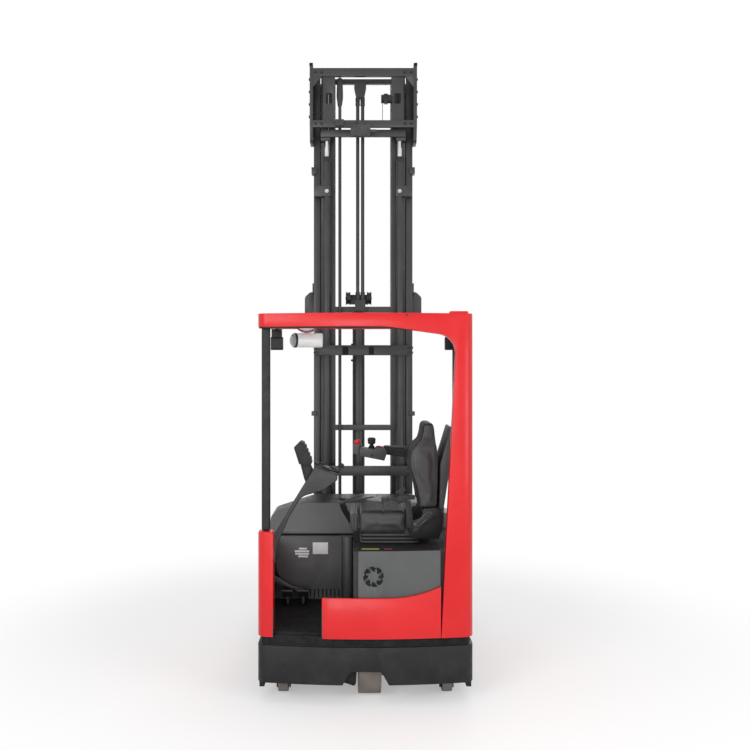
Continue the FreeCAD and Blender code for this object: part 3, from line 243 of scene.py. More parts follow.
# colour pair, mottle scale, roughness range, grain (scale, strength, depth) and fixed shader values
finishLook = {
    "redPaint": ((0.68, 0.012, 0.015), (0.74, 0.018, 0.021), 2.5, (0.30, 0.42), (260, 0.10, 0.0006),
                 {"Coat Weight": 0.12, "Coat Roughness": 0.15, "Specular IOR Level": 0.32}),
    "framePaint": ((0.012, 0.012, 0.013), (0.018, 0.018, 0.019), 5, (0.42, 0.60), (420, 0.16, 0.0006),
                   {"Specular IOR Level": 0.25}),
    "mastSteel": ((0.025, 0.0255, 0.026), (0.041, 0.0415, 0.0425), 4, (0.34, 0.55), (500, 0.12, 0.0005), {}),
    "darkPlastic": ((0.040, 0.041, 0.043), (0.052, 0.053, 0.055), 6, (0.48, 0.60), (900, 0.30, 0.0006), {}),
    "hoodPlastic": ((0.114, 0.114, 0.115), (0.136, 0.136, 0.137), 3, (0.45, 0.58), (850, 0.30, 0.0006), {}),
    "coverPlastic": ((0.070, 0.073, 0.073), (0.088, 0.091, 0.091), 3, (0.46, 0.60), (850, 0.30, 0.0006), {}),
    # the wall's plastic is a lighter copy of the dark plastic, lifted to make up for the shade the wall sits
    # in: painted light
    "wallPlasticPaintedLight": ((0.085, 0.086, 0.088), (0.103, 0.104, 0.106), 4, (0.46, 0.58), (850, 0.30, 0.0006), {}),
    "consolePlastic": ((0.026, 0.027, 0.027), (0.040, 0.041, 0.041), 5, (0.46, 0.60), (850, 0.30, 0.0006),
                       {}),
    "blackTrim": ((0.013, 0.013, 0.014), (0.021, 0.021, 0.022), 9, (0.42, 0.58), (700, 0.22, 0.0005),
                  {"Specular IOR Level": 0.3}),
    "greyTrim": ((0.085, 0.085, 0.087), (0.11, 0.11, 0.112), 9, (0.40, 0.55), (700, 0.2, 0.0005), {}),
    "seatInsert": ((0.011, 0.011, 0.012), (0.018, 0.018, 0.019), 8, (0.58, 0.72), (650, 0.40, 0.0008),
                   {"Specular IOR Level": 0.25}),
    "matRubber": ((0.009, 0.009, 0.010), (0.018, 0.018, 0.018), 12, (0.70, 0.92), (600, 0.45, 0.0010),
                  {"Specular IOR Level": 0.2}),
    "whitePlastic": ((0.88, 0.88, 0.875), (0.92, 0.92, 0.915), 8, (0.22, 0.34), (500, 0.05, 0.0004),
                     {"Coat Weight": 0.2}),
    "castIron": ((0.035, 0.036, 0.038), (0.060, 0.060, 0.062), 14, (0.55, 0.75), (240, 0.55, 0.0012), {}),
    "batteryPaint": ((0.050, 0.058, 0.075), (0.070, 0.080, 0.10), 4, (0.45, 0.62), (400, 0.16, 0.0006), {}),
    "plateWhite": ((0.86, 0.86, 0.86), (0.92, 0.92, 0.92), 30, (0.35, 0.48), (900, 0.06, 0.0003), {}),
    "stripYellow": ((0.36, 0.35, 0.045), (0.42, 0.41, 0.06), 30, (0.35, 0.5), (700, 0.06, 0.0003), {}),
    "stripRed": ((0.24, 0.03, 0.07), (0.30, 0.05, 0.09), 30, (0.35, 0.5), (700, 0.06, 0.0003), {}),
    "zincBolt": ((0.42, 0.42, 0.41), (0.55, 0.55, 0.54), 60, (0.28, 0.42), (900, 0.15, 0.0003),
                 {"Metallic": 1.0}),
    "blackBolt": ((0.022, 0.022, 0.023), (0.045, 0.045, 0.046), 60, (0.35, 0.5), (900, 0.2, 0.0003),
                  {"Metallic": 0.6}),
}


def makeFinish(name):
    low, high, mottle, rough, (scale, strength, depth), fixed = finishLook[name]
    material, shader, place = startMaterial(name)
    colour = mixColour(addCloud(place, mottle, 5.0), low, high)
    patches = addNoise(place, mottle * 3.7, 3.0)
    normal = addBump(addNoise(place, scale, 2.0), strength, depth)
    setInputs(shader, {"Base Color": colour, "Roughness": rampValue(patches, 0.3, 0.7, *rough),
                       "Normal": normal, **fixed})
    return material, shader, place, colour, normal


def addDust(shader, place, colour, top, dust=(0.12, 0.115, 0.108)):
    # dry dust and splashes that thin out upwards from the floor
    height = rampValue(axisOf(place, 2), 0.02, top, 1, 0)
    spots = rampValue(addNoise(place, 11, 8.0, 0.7), 0.42, 0.68, 0, 1)
    amount = product(product(height, spots), 0.10)
    setInputs(shader, {"Base Color": mixColour(amount, colour, dust)})


def makeRed():
    # slight waviness of pressed steel
    material, shader, place, colour, normal = makeFinish("redPaint")
    setInputs(shader, {"Normal": addBump(addNoise(place, 9, 2.0), 0.06, 0.004, normal)})
    addDust(shader, place, colour, 0.55, (0.45, 0.08, 0.07))
    return material


def makeFrame():
    material, shader, place, colour, normal = makeFinish("framePaint")
    scratch = addNoise(stretched(place, (3, 40, 40)), 6, 6.0, 0.7)
    worn = product(rampValue(scratch, 0.66, 0.74, 0, 1), 0.5)
    addDust(shader, place, mixColour(worn, colour, (0.075, 0.075, 0.078)), 0.42)
    return material


def makeMast():
    # satin paint with long vertical rub marks and a film of grease
    material, shader, place, colour, normal = makeFinish("mastSteel")
    streak = addNoise(stretched(place, (60, 60, 0.6)), 5, 6.0, 0.65)
    rubbed = product(rampValue(streak, 0.56, 0.70, 0, 1), 0.55)
    greasy = product(rampValue(streak, 0.30, 0.44, 1, 0), 0.6)
    colour = mixColour(rubbed, colour, (0.066, 0.067, 0.068))
    setInputs(shader, {"Base Color": mixColour(greasy, colour, (0.022, 0.022, 0.023)),
                       "Roughness": rampValue(streak, 0.3, 0.7, 0.30, 0.56),
                       "Normal": addBump(streak, 0.08, 0.0008, normal)})
    return material


def makeLeather():
    # vinyl cover with pores, creases and a soft sheen
    material, shader, place = startMaterial("seatVinyl")
    cloud = addCloud(place, 7)
    pores = addNode(place, "ShaderNodeTexVoronoi", {"Scale": 520, "Vector": place},
                    feature="DISTANCE_TO_EDGE").outputs["Distance"]
    colour = mixColour(cloud, (0.027, 0.027, 0.028), (0.039, 0.039, 0.040))
    deep = product(rampValue(pores, 0.0, 0.05, 1, 0), 0.5)
    crease = addNoise(stretched(place, (14, 5, 22)), 2.2, 6.0, 0.7)
    low = addBump(crease, 0.20, 0.004)
    setInputs(shader, {"Base Color": mixColour(deep, colour, (0.020, 0.020, 0.021)),
                       "Roughness": rampValue(cloud, 0, 1, 0.46, 0.58),
                       "Normal": addBump(pores, 0.35, 0.0005, low),
                       "Sheen Weight": 0.1, "Sheen Roughness": 0.5})
    return material


def makePolyurethane():
    # brown-grey tread, scuffed and dusty
    material, shader, place = startMaterial("polyurethaneTread")
    cloud = addCloud(place, 9, 6.0)
    scuff = addNoise(stretched(place, (70, 12, 12)), 3, 6.0, 0.7)
    colour = mixColour(cloud, (0.150, 0.128, 0.112), (0.215, 0.190, 0.168))
    marks = product(rampValue(scuff, 0.58, 0.70, 0, 1), 0.6)
    low = addBump(scuff, 0.3, 0.0012)
    setInputs(shader, {"Base Color": mixColour(marks, colour, (0.070, 0.062, 0.056)),
                       "Roughness": rampValue(scuff, 0.3, 0.7, 0.5, 0.8),
                       "Normal": addBump(addNoise(place, 420, 2.0), 0.3, 0.0006, low)})
    return material


def makeChrome():
    material, shader, place = startMaterial("hardChrome")
    rings = addNoise(stretched(place, (4, 4, 900)), 1.0, 3.0)
    cloud = addCloud(place, 20)
    setInputs(shader, {"Base Color": mixColour(cloud, (0.62, 0.62, 0.63), (0.74, 0.74, 0.75)),
                       "Roughness": rampValue(rings, 0.3, 0.7, 0.10, 0.20),
                       "Normal": addBump(rings, 0.08, 0.0002), "Metallic": 1.0})
    return material


def makeHose():
    # rubber hose with the print of its wrapping
    material, shader, place = startMaterial("hoseCover")
    cloud = addCloud(place, 15)
    wave = addNode(place, "ShaderNodeTexWave", {"Scale": 120, "Distortion": 0.4, "Vector": place},
                   wave_type="BANDS", bands_direction="DIAGONAL").outputs["Fac"]
    colour = mixColour(cloud, (0.014, 0.014, 0.015), (0.026, 0.026, 0.027))
    setInputs(shader, {"Base Color": colour, "Roughness": rampValue(cloud, 0, 1, 0.42, 0.56),
                       "Normal": addBump(wave, 0.25, 0.0006)})
    return material


def makeForkSteel():
    # black paint worn to bright steel towards the tips and along the top
    material, shader, place = startMaterial("forkSteel")
    cloud = addNoise(place, 6, 7.0, 0.65)
    scratch = addNoise(stretched(place, (60, 2.5, 20)), 4, 6.0, 0.7)
    tip = rampValue(axisOf(place, 1), 0.6, 1.45, 0.0, 0.34)
    rubbed = combine("ADD", combine("ADD", tip, cloud), product(scratch, 0.4))
    wear = rampValue(rubbed, 0.88, 1.0, 0, 1)
    paint = mixColour(cloud, (0.022, 0.022, 0.023), (0.042, 0.042, 0.043))
    setInputs(shader, {"Base Color": mixColour(wear, paint, (0.36, 0.35, 0.34)), "Metallic": wear,
                       "Roughness": rampValue(scratch, 0.3, 0.7, 0.32, 0.55),
                       "Normal": addBump(scratch, 0.15, 0.0006)})
    return material


def makeLens():
    material, shader, place = startMaterial("lampLens")
    bands = addNoise(stretched(place, (300, 8, 8)), 1.0, 1.0)
    setInputs(shader, {"Base Color": mixColour(bands, (0.16, 0.17, 0.18), (0.34, 0.35, 0.36)),
                       "Normal": addBump(bands, 0.5, 0.001),
                       "Roughness": 0.08, "Coat Weight": 1.0})
    return material


finishes = {
    "redPaint": makeRed(), "framePaint": makeFrame(), "mastSteel": makeMast(), "seatVinyl": makeLeather(),
    "polyurethane": makePolyurethane(), "hardChrome": makeChrome(), "hoseCover": makeHose(),
    "forkSteel": makeForkSteel(), "lampLens": makeLens(),
}
for plain in finishLook:
    if plain not in finishes:
        finishes[plain] = makeFinish(plain)[0]

slotFinish = {
    "frame_dark": "framePaint", "mast_steel": "mastSteel", "red_paint": "redPaint",
    "body_dark": "darkPlastic", "hood_plastic": "hoodPlastic", "cover_grey": "coverPlastic",
    "black_trim": "blackTrim", "mat_rubber": "matRubber", "white_plastic": "whitePlastic",
    "seat_cover": "seatVinyl", "polyurethane": "polyurethane", "cast_dark": "castIron",
    "rod_chrome": "hardChrome", "hose_rubber": "hoseCover", "battery_block": "batteryPaint",
    "fork_steel": "forkSteel",
}
for node, piece in nodes.items():
    piece.data.materials.clear()
    piece.data.materials.append(finishes[slotFinish[slotOf[node]]])
print("finishes ready:", len(finishes))


def settle(piece, finish, node, replaces=False, angle=32):
    # last step of every piece: finish, shading, and the body of the CAD node it joins
    piece.data.materials.clear()
    piece.data.materials.append(finishes[finish])
    piece.data.polygons.foreach_set("use_smooth", [True] * len(piece.data.polygons))
    piece.data.set_sharp_from_angle(angle=radians(angle))
    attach(piece, bodyOf[node])
    if replaces:
        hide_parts(node)
    return piece


def baked(piece):
    # modifiers applied, and the piece left as a plain mesh
    depsgraph = bpy.context.evaluated_depsgraph_get()
    mesh = bpy.data.meshes.new_from_object(piece.evaluated_get(depsgraph))
    mesh.name = piece.name
    old = piece.data
    piece.modifiers.clear()
    piece.data = mesh
    bpy.data.meshes.remove(old)
    return piece


def fromBmesh(name, bm, merge=True):
    if merge:
        bmesh.ops.remove_doubles(bm, verts=bm.verts, dist=1e-5)
        bmesh.ops.recalc_face_normals(bm, faces=bm.faces)
    mesh = bpy.data.meshes.new(name)
    bm.to_mesh(mesh)
    bm.free()
    return placed(name, mesh)


def bevelled(piece, width, segments, angle=30):
    bevel = piece.modifiers.new("edges", "BEVEL")
    bevel.width = width
    bevel.segments = segments
    bevel.limit_method = "ANGLE"
    bevel.angle_limit = radians(angle)
    bevel.use_clamp_overlap = True
    return baked(piece)


def softenNode(node, width, finish, segments):
    # the CAD piece with its sharp edges rounded
    bm = bmesh.new()
    bm.from_mesh(nodes[node].data)
    bmesh.ops.remove_doubles(bm, verts=bm.verts, dist=1e-6)
    bmesh.ops.dissolve_limit(bm, angle_limit=radians(0.6), verts=bm.verts, edges=bm.edges)
    words = node.split("_")
    piece = fromBmesh(words[0] + "".join(word.capitalize() for word in words[1:]), bm, merge=False)
    piece = bevelled(piece, width, segments)
    return settle(piece, finish or slotFinish[slotOf[node]], node, True)


# edge width in mm and the pieces that have it
edgeWidths = {
    22: "corner_column", 17: "guard_post_left", 6: "guard_frame back_brace straddle_arms",
    5: "hood guard_post_front steering_console armrest drive_unit",
    4: "chassis rear_panel side_panels bulkhead_cover stop_buttons",
    3: "motor_cover cover_post display_unit pedals reach_carriage outer_mast mast_crosshead mast_brackets "
       "middle_mast inner_mast free_lift_cylinder valve_block fork_carriage tilt_frame fork_bar forks "
       "floor_plate",
    2.5: "seat_shell", 1.5: "roof_grille",
    2: "castor_fork_left castor_fork_right reach_cylinder lift_cylinders free_lift_rod height_sensor",
}
# the wall gets the lighter copy of the dark plastic, which paints light into its shade
ownFinish = {"bulkhead_cover": "wallPlasticPaintedLight", "pedals": "greyTrim", "steering_console": "consolePlastic"}
roundSegments = {"corner_column": 5, "guard_post_left": 5}
softened = {node: softenNode(node, width / 1000, ownFinish.get(node), roundSegments.get(node, 2))
            for width, group in edgeWidths.items() for node in group.split()}
print("edges rounded:", len(softened), "pieces")


def addLoft(bm, corners):
    # a closed skin through rings of corners
    rings = [[bm.verts.new(corner) for corner in ring] for ring in corners]
    bm.faces.new(rings[0])
    bm.faces.new(reversed(rings[-1]))
    for low, high in zip(rings, rings[1:]):
        for i in range(len(low)):
            k = (i + 1) % len(low)
            bm.faces.new((low[i], high[i], high[k], low[k]))


def pulled(name, outline, start, end, edge, segments=3, angle=30):
    # outline of X and Z in mm, pulled from start to end along Y
    bm = bmesh.new()
    addLoft(bm, [[mm(x, y, z) for x, z in outline] for y in (start, end)])
    return bevelled(fromBmesh(name, bm), edge / 1000, segments, angle)


def slab(name, outline, start, end, edge, finish, node):
    return settle(pulled(name, outline, start, end, edge), finish, node)


def oblong(x0, x1, z0, z1):
    left, right = sorted((x0, x1))
    return [(left, z0), (right, z0), (right, z1), (left, z1)]


def latheMesh(profile, axis, centre, steps, closed, lobes=(0, 0.0)):
    # (radius, along) corners in mm turned about the axis; a radius of 0 is a pole
    turn = Vector((0, 0, 1)).rotation_difference(Vector(axis)).to_matrix()
    count, depth = lobes
    bm = bmesh.new()
    rings = []
    for radius, along in profile:
        ring = []
        for angle in circle(1 if radius == 0 else steps):
            reach = radius * (1 + depth * cos(count * angle)) / 1000
            corner = Vector((reach * cos(angle), reach * sin(angle), along / 1000))
            ring.append(bm.verts.new(centre + turn @ corner))
        rings.append(ring)
    pairs = list(zip(rings, rings[1:]))
    if closed:
        pairs.append((rings[-1], rings[0]))
    for low, high in pairs:
        for i in range(steps):
            k = (i + 1) % steps
            corners = [low[i % len(low)], low[k % len(low)], high[k % len(high)], high[i % len(high)]]
            bm.faces.new(list(dict.fromkeys(corners)))
    return bm


def lathe(name, profile, axis, centre, finish, node, steps=48, closed=False, replaces=False, lobes=(0, 0.0)):
    piece = fromBmesh(name, latheMesh(profile, axis, centre, steps, closed, lobes))
    return settle(piece, finish, node, replaces, 28)


def tube(name, points, radius, finish, node, closed=False):
    curve = bpy.data.curves.new(name, "CURVE")
    curve.dimensions = "3D"
    curve.bevel_depth = radius / 1000
    curve.bevel_resolution = 3
    curve.use_fill_caps = True
    spline = curve.splines.new("NURBS")
    spline.points.add(len(points) - 1)
    for point, place in zip(spline.points, points):
        point.co = (*place, 1)
    spline.order_u = 3
    spline.use_endpoint_u = not closed
    spline.use_cyclic_u = closed
    holder = placed(name, curve)
    mesh = bpy.data.meshes.new_from_object(holder.evaluated_get(bpy.context.evaluated_depsgraph_get()))
    bpy.data.objects.remove(holder)
    settle(placed(name, mesh), finish, node, angle=40)


def surfaceOf(piece):
    bpy.context.view_layer.update()
    return BVHTree.FromObject(piece, bpy.context.evaluated_depsgraph_get())


def hitOn(tree, origin, direction):
    return tree.ray_cast(origin, Vector(direction))[0]


def hitsOn(tree, origins, direction, lift=(0, 0, 0)):
    # where rays from the origins meet the surface, each point moved by lift
    found = [hitOn(tree, origin, direction) for origin in origins]
    return [place + Vector(lift) for place in found if place is not None]


# pads: a slightly small shape is blown up as cloth, held near where it began and kept in its box
padLook = {"voxel": 0.006, "pressure": 4.0, "frames": 20, "cap": 0.0055, "evening": 14, "fill": 0.75}


def remeshed(piece):
    remesh = piece.modifiers.new("even", "REMESH")
    remesh.mode = "VOXEL"
    remesh.voxel_size = padLook["voxel"]
    return baked(piece)


def inflated(piece, lo, hi):
    remeshed(piece)
    start = [vertex.co.copy() for vertex in piece.data.vertices]
    cloth = piece.modifiers.new("puff", "CLOTH")
    cloth.settings.use_pressure = True
    cloth.settings.uniform_pressure_force = padLook["pressure"]
    cloth.settings.effector_weights.gravity = 0
    cloth.point_cache.frame_end = padLook["frames"]
    for step in range(1, padLook["frames"] + 1):
        scene.frame_set(step)
    baked(piece)
    scene.frame_set(1)
    for vertex, before in zip(piece.data.vertices, start):
        move = vertex.co - before
        if move.length > padLook["cap"]:
            vertex.co = before + move.normalized() * padLook["cap"]
    fitTo(piece, lo, hi)
    even = piece.modifiers.new("evened", "SMOOTH")
    even.factor = 0.5
    even.iterations = padLook["evening"]
    subdivide = piece.modifiers.new("finer", "SUBSURF")
    subdivide.levels = subdivide.render_levels = 1
    return baked(piece)


def fitTo(piece, lo, hi):
    for vertex in piece.data.vertices:
        for axis in range(3):
            vertex.co[axis] = min(max(vertex.co[axis], lo[axis]), hi[axis])


def sewn(piece, seams):
    # each seam draws the cover in along a plane: axis, place, depth, half width, and where it runs
    piece.data.update()
    normals = [vertex.normal.copy() for vertex in piece.data.vertices]
    for vertex, normal in zip(piece.data.vertices, normals):
        for axis, place, depth, width, runs in seams:
            if runs(vertex.co):
                pull = exp(-((vertex.co[axis] - place) / width) ** 2)
                vertex.co -= normal * depth * pull


def darken(piece, finish, chosen):
    # the faces that chosen picks get a second finish
    piece.data.materials.append(finishes[finish])
    last = len(piece.data.materials) - 1
    for face in piece.data.polygons:
        if chosen(face):
            face.material_index = last


seatLook = {
    "inset": 7.0, "bolsterFront": -91.0, "bolsterBack": -42.0, "folds": 3, "pipeRadius": 2.4,
    "pipeInsets": (9.0, 25.0), "headStart": 1500.0, "headNarrow": 0.26, "capFrom": 1596.0,
    "wingSeams": (272.0, 527.0), "crossSeams": (1190.0, 1290.0, 1390.0),
    "seamDepth": 0.005, "seamWidth": 0.006,
    "pipeCentre": (108, 400, 1072), "pipeSteps": 48,
}


def makeCushion():
    lo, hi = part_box("seat_cushion")
    inset, split, edge = seatLook["inset"], seatLook["bolsterBack"], seatLook["bolsterFront"]
    y0, y1 = 164.7 + inset, 634.7 - inset
    main = pulled("cushionPad", oblong(split + 5, 260 - inset, 952, 1085 - inset), y0, y1, 22, 4, 20)
    inflated(main, Vector((mm(split + 1, 0, 0).x, lo.y, lo.z)), hi)
    depth, width = seatLook["seamDepth"], seatLook["seamWidth"]
    sewn(main, [(0, 0.112, depth, width, lambda co: co.z > 1.064)])
    settle(main, "seatVinyl", "seat_cushion", True, 60)
    darken(main, "seatInsert", lambda face: face.normal.z > 0.75)
    front, back = edge + inset, split - 5
    outline = [(front, 953), (back, 953), (back, 1083 - inset), (front + 12, 1083 - inset),
               (front, 1065 - inset)]
    bolster = pulled("cushionBolster", outline, y0, y1, 12, 4, 20)
    inflated(bolster, lo, Vector((mm(split - 1, 0, 0).x, hi.y, hi.z)))
    span = (split - edge) / seatLook["folds"]
    sewn(bolster, [(0, (edge + span * i) / 1000, depth, 0.0035, lambda co: True)
                   for i in range(1, seatLook["folds"])])
    settle(bolster, "seatVinyl", "seat_cushion", True, 60)
    # piping round the top edge of the pad
    tree = surfaceOf(main)
    middle = mm(*seatLook["pipeCentre"])
    places = []
    for angle in circle(seatLook["pipeSteps"]):
        away = Vector((cos(angle), sin(angle), 0))
        found = hitOn(tree, middle + away * 0.6, -away)
        if found is not None:
            places.append(found - away * 0.0006)
    tube("cushionPiping", places, seatLook["pipeRadius"], "blackTrim", "seat_cushion", True)


def narrowHead(piece, lo, hi):
    middle = (lo.y + hi.y) / 2
    top = seatLook["headStart"] / 1000
    for vertex in piece.data.vertices:
        rise = min(max((vertex.co.z - top + 0.03) / 0.06, 0), 1)
        narrow = seatLook["headNarrow"] * rise * rise * (3 - 2 * rise)
        vertex.co.y = middle + (vertex.co.y - middle) * (1 - narrow)


def makeBackrest():
    lo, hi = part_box("seat_backrest")
    outline = [(335, 1100), (330, 1150), (318, 1215), (296, 1285), (279, 1345), (277, 1395), (285, 1440),
               (312, 1475), (343, 1505), (356, 1560), (360, 1608), (372, 1618), (408, 1618), (418, 1606),
               (430, 1500), (440, 1380), (437, 1240), (427, 1100)]
    piece = remeshed(pulled("backrestPad", outline, 180, 620, 16, 4, 20))
    narrowHead(piece, lo, hi)
    inflated(piece, lo, hi)
    near, far = (mm(0, y, 0).y for y in seatLook["wingSeams"])

    def onFace(co):
        return co.x < 0.352 and co.z < 1.49

    def onMiddle(co):
        return onFace(co) and near < co.y < far

    depth, width = seatLook["seamDepth"], seatLook["seamWidth"]
    seams = [(1, y, 0.006, width, onFace) for y in (near, far)]
    sewn(piece, seams + [(2, z / 1000, depth, width, onMiddle) for z in seatLook["crossSeams"]])
    settle(piece, "seatVinyl", "seat_backrest", True, 60)
    inner, outer = (mm(0, y, 0).y for y in (200, 600))
    darken(piece, "seatInsert", lambda face: face.center.z > seatLook["capFrom"] / 1000
           or (face.normal.x < -0.55 and inner < face.center.y < outer))
    # two lines of piping on each side face, at a set distance from the front edge; their light grey also
    # paints the highlight along the rounded front edge
    tree = surfaceOf(piece)
    front = outline[:11]
    for side, start, way in (("Near", 100, 1), ("Far", 700, -1)):
        for i, inset in enumerate(seatLook["pipeInsets"], 1):
            line = [mm(x0 + (x1 - x0) * part + inset, start, max(z0 + (z1 - z0) * part, 1108))
                    for (x0, z0), (x1, z1) in zip(front, front[1:]) for part in (0.0, 0.34, 0.67)]
            places = hitsOn(tree, line, (0, way, 0), (0, 0.0006 * way, 0))
            tube("backrestPiping%s%d" % (side, i), places, seatLook["pipeRadius"], "greyTrim",
                 "seat_backrest")


# lever, groove and pivot on the near cheek of the seat shell, as corners in X and Z
cheekLook = {
    "pivot": (297, 1010), "pivotRadius": 11.0, "trimRadius": 1.8,
    "groove": ((318, 961), (321, 984), (341, 1008), (372, 1034), (404, 1047), (427, 1057)),
    "lever": ((313, 1003), (315, 1028), (336, 1055), (365, 1075), (388, 1084), (403, 1078), (395, 1064),
              (365, 1042), (341, 1018), (326, 1000)),
}


def makeCheek():
    tree = surfaceOf(softened["seat_shell"])
    # the groove is drawn as a near-black rubber line on the cheek: painted shade in the groove
    for name, finish, closed in (("groove", "matRubber", False), ("lever", "greyTrim", True)):
        places = hitsOn(tree, [mm(x, -300, z) for x, z in cheekLook[name]], (0, 1, 0))
        tube("cheek" + name.capitalize(), places, cheekLook["trimRadius"], finish, "seat_shell", closed)
    x, z = cheekLook["pivot"]
    radius = cheekLook["pivotRadius"]
    cap = [(0, -1), (radius, -1), (radius, 1.2), (radius - 2, 2.4), (radius - 3.5, 1.0), (0, 1.4)]
    lathe("cheekPivot", cap, (0, -1, 0), hitOn(tree, mm(x, -300, z), (0, 1, 0)), "greyTrim", "seat_shell", 32)


bellowsLook = {
    "folds": 3, "depth": 18.0, "corner": 34.0, "steps": 8,
    "xEnds": (-30.0, 330.0), "yEnds": (180.0, 619.5), "zEnds": (885.4, 948.6),
}


def makeBellows():
    # three rounded folds, each ring a rectangle with round corners
    (x0, x1), (y0, y1), (z0, z1) = (bellowsLook[axis + "Ends"] for axis in "xyz")
    levels = bellowsLook["folds"] * bellowsLook["steps"]
    radius = bellowsLook["corner"]
    rings = []
    for level in range(levels + 1):
        phase = pi * level / bellowsLook["steps"]
        inset = bellowsLook["depth"] * (1 - abs(sin(phase))) ** 1.6
        left, right = x0 + inset + radius, x1 - inset - radius
        near, far = y0 + inset + radius, y1 - inset - radius
        ring = []
        for quarter, (x, y) in enumerate(((right, far), (left, far), (left, near), (right, near))):
            for i in range(7):
                angle = pi / 2 * (quarter + i / 6)
                ring.append(mm(x + radius * cos(angle), y + radius * sin(angle),
                               z0 + (z1 - z0) * level / levels))
        rings.append(ring)
    bm = bmesh.new()
    addLoft(bm, rings)
    settle(fromBmesh("seatBellows", bm), "darkPlastic", "seat_base", True, 50)


# the wheel leans along its column; rim: radius, half width and half height of its section, and its corners
steeringLook = {
    "axis": (51, 0, 130), "foot": (-237, 262, 1326.5), "rise": 0.0143, "rim": (76, 8.8, 6.8, 14),
    "spokes": 3, "spokeTurn": 90, "spokeMiddle": (0.044, 0, -0.001), "spokeSize": (0.056, 0.018, 0.006),
    "spokeTaper": 0.7,
}


def makeSteeringWheel():
    node = "steering_wheel"
    axis = Vector(steeringLook["axis"]).normalized()
    centre = mm(*steeringLook["foot"]) + axis * steeringLook["rise"]
    reach, wide, high, steps = steeringLook["rim"]
    rim = [(reach + wide * cos(a), high * sin(a)) for a in circle(steps)]
    lathe("steeringRim", rim, axis, centre, "blackTrim", node, 72, True, True)
    hub = [(0, -13.8), (22, -13.8), (24, -11), (24, 0), (20, 4.5), (9, 6), (0, 6)]
    lathe("steeringHub", hub, axis, centre, "greyTrim", node, replaces=True)
    turn = Vector((0, 0, 1)).rotation_difference(axis).to_matrix().to_4x4()
    middle, size = Vector(steeringLook["spokeMiddle"]), Vector(steeringLook["spokeSize"])
    turns = circle(steeringLook["spokes"])
    for k in range(len(turns)):
        bm = bmesh.new()
        bmesh.ops.create_cube(bm, size=1)
        for vertex in bm.verts:
            if vertex.co.x > 0:
                vertex.co.y *= steeringLook["spokeTaper"]
            vertex.co = middle + vertex.co * size
        spin = Matrix.Rotation(turns[k] + radians(steeringLook["spokeTurn"]), 4, "Z")
        bmesh.ops.transform(bm, matrix=Matrix.Translation(centre) @ turn @ spin, verts=bm.verts)
        spoke = bevelled(fromBmesh("steeringSpoke%d" % (k + 1), bm), 0.002, 3)
        settle(spoke, "blackTrim", node, True)
    grip = centre + turn.to_3x3() @ Vector((reach / 1000, 0, 0))
    knob = [(0, 5), (6, 5), (6, 27), (13, 29), (17, 36), (17.6, 46), (14, 53), (7, 56), (0, 56)]
    lathe("spinnerKnob", knob, axis, grip, "blackTrim", node, 54, False, True, (6, 0.05))


# wheels: tread, cast centre with a recessed web, bearing cap
wheelLook = {"tread": 0.80, "shoulder": 7.0, "web": 0.34}
# each node's piece, radius, width, bore and centre
wheelSizes = {
    "drive_wheel": ("driveWheel", 171.5, 137.0, 30.0, (25, 169.7, 171.5)),
    "castor_wheel_left": ("castorLeft", 75.0, 60.0, 10.0, (-490, 177.7, 78)),
    "castor_wheel_right": ("castorRight", 75.0, 60.0, 10.0, (490, 177.7, 78)),
    "load_wheel_left": ("loadLeft", 142.5, 100.0, 22.0, (-542, 1779.7, 142.5)),
    "load_wheel_right": ("loadRight", 142.5, 100.0, 22.0, (542, 1779.7, 142.5)),
}


def makeWheel(node):
    name, radius, width, bore, centre = wheelSizes[node]
    half = width / 2
    inner = radius * wheelLook["tread"]
    soft = min(wheelLook["shoulder"], width * 0.1)
    arc = [(radius - soft + soft * sin(a), half - soft + soft * cos(a))
           for a in (pi / 2 * i / 4 for i in range(5))]
    tread = [(inner, half - 2), (inner + 2, half)] + arc
    hub = bore * 1.9
    deep = half * wheelLook["web"]
    core = [(bore, half - 1), (hub, half - 1), (hub + 2, half - 3), (hub + 6, deep), (inner * 0.84, deep),
            (inner * 0.91, half - 3), (inner - 0.2, half - 3)]
    for part, profile, finish, steps in (("Tread", tread, "polyurethane", 96),
                                         ("Centre", core, "castIron", 72)):
        profile += [(r, -x) for r, x in reversed(profile)]
        lathe(name + part, profile, (1, 0, 0), mm(*centre), finish, node, steps, True, True)


# lamp under the guard: a white barrel whose glazed end leans towards the rear
lampLook = {"radius": 45.2, "lean": 0.45, "leanFrom": 45.0, "leanOver": 30.0, "bailRadius": 3.0}


def leaned(piece, centre):
    for vertex in piece.data.vertices:
        past = centre.x - lampLook["leanFrom"] / 1000 - vertex.co.x
        share = min(max(past / (lampLook["leanOver"] / 1000), 0), 1)
        vertex.co.x += share * lampLook["lean"] * (centre.y - vertex.co.y)


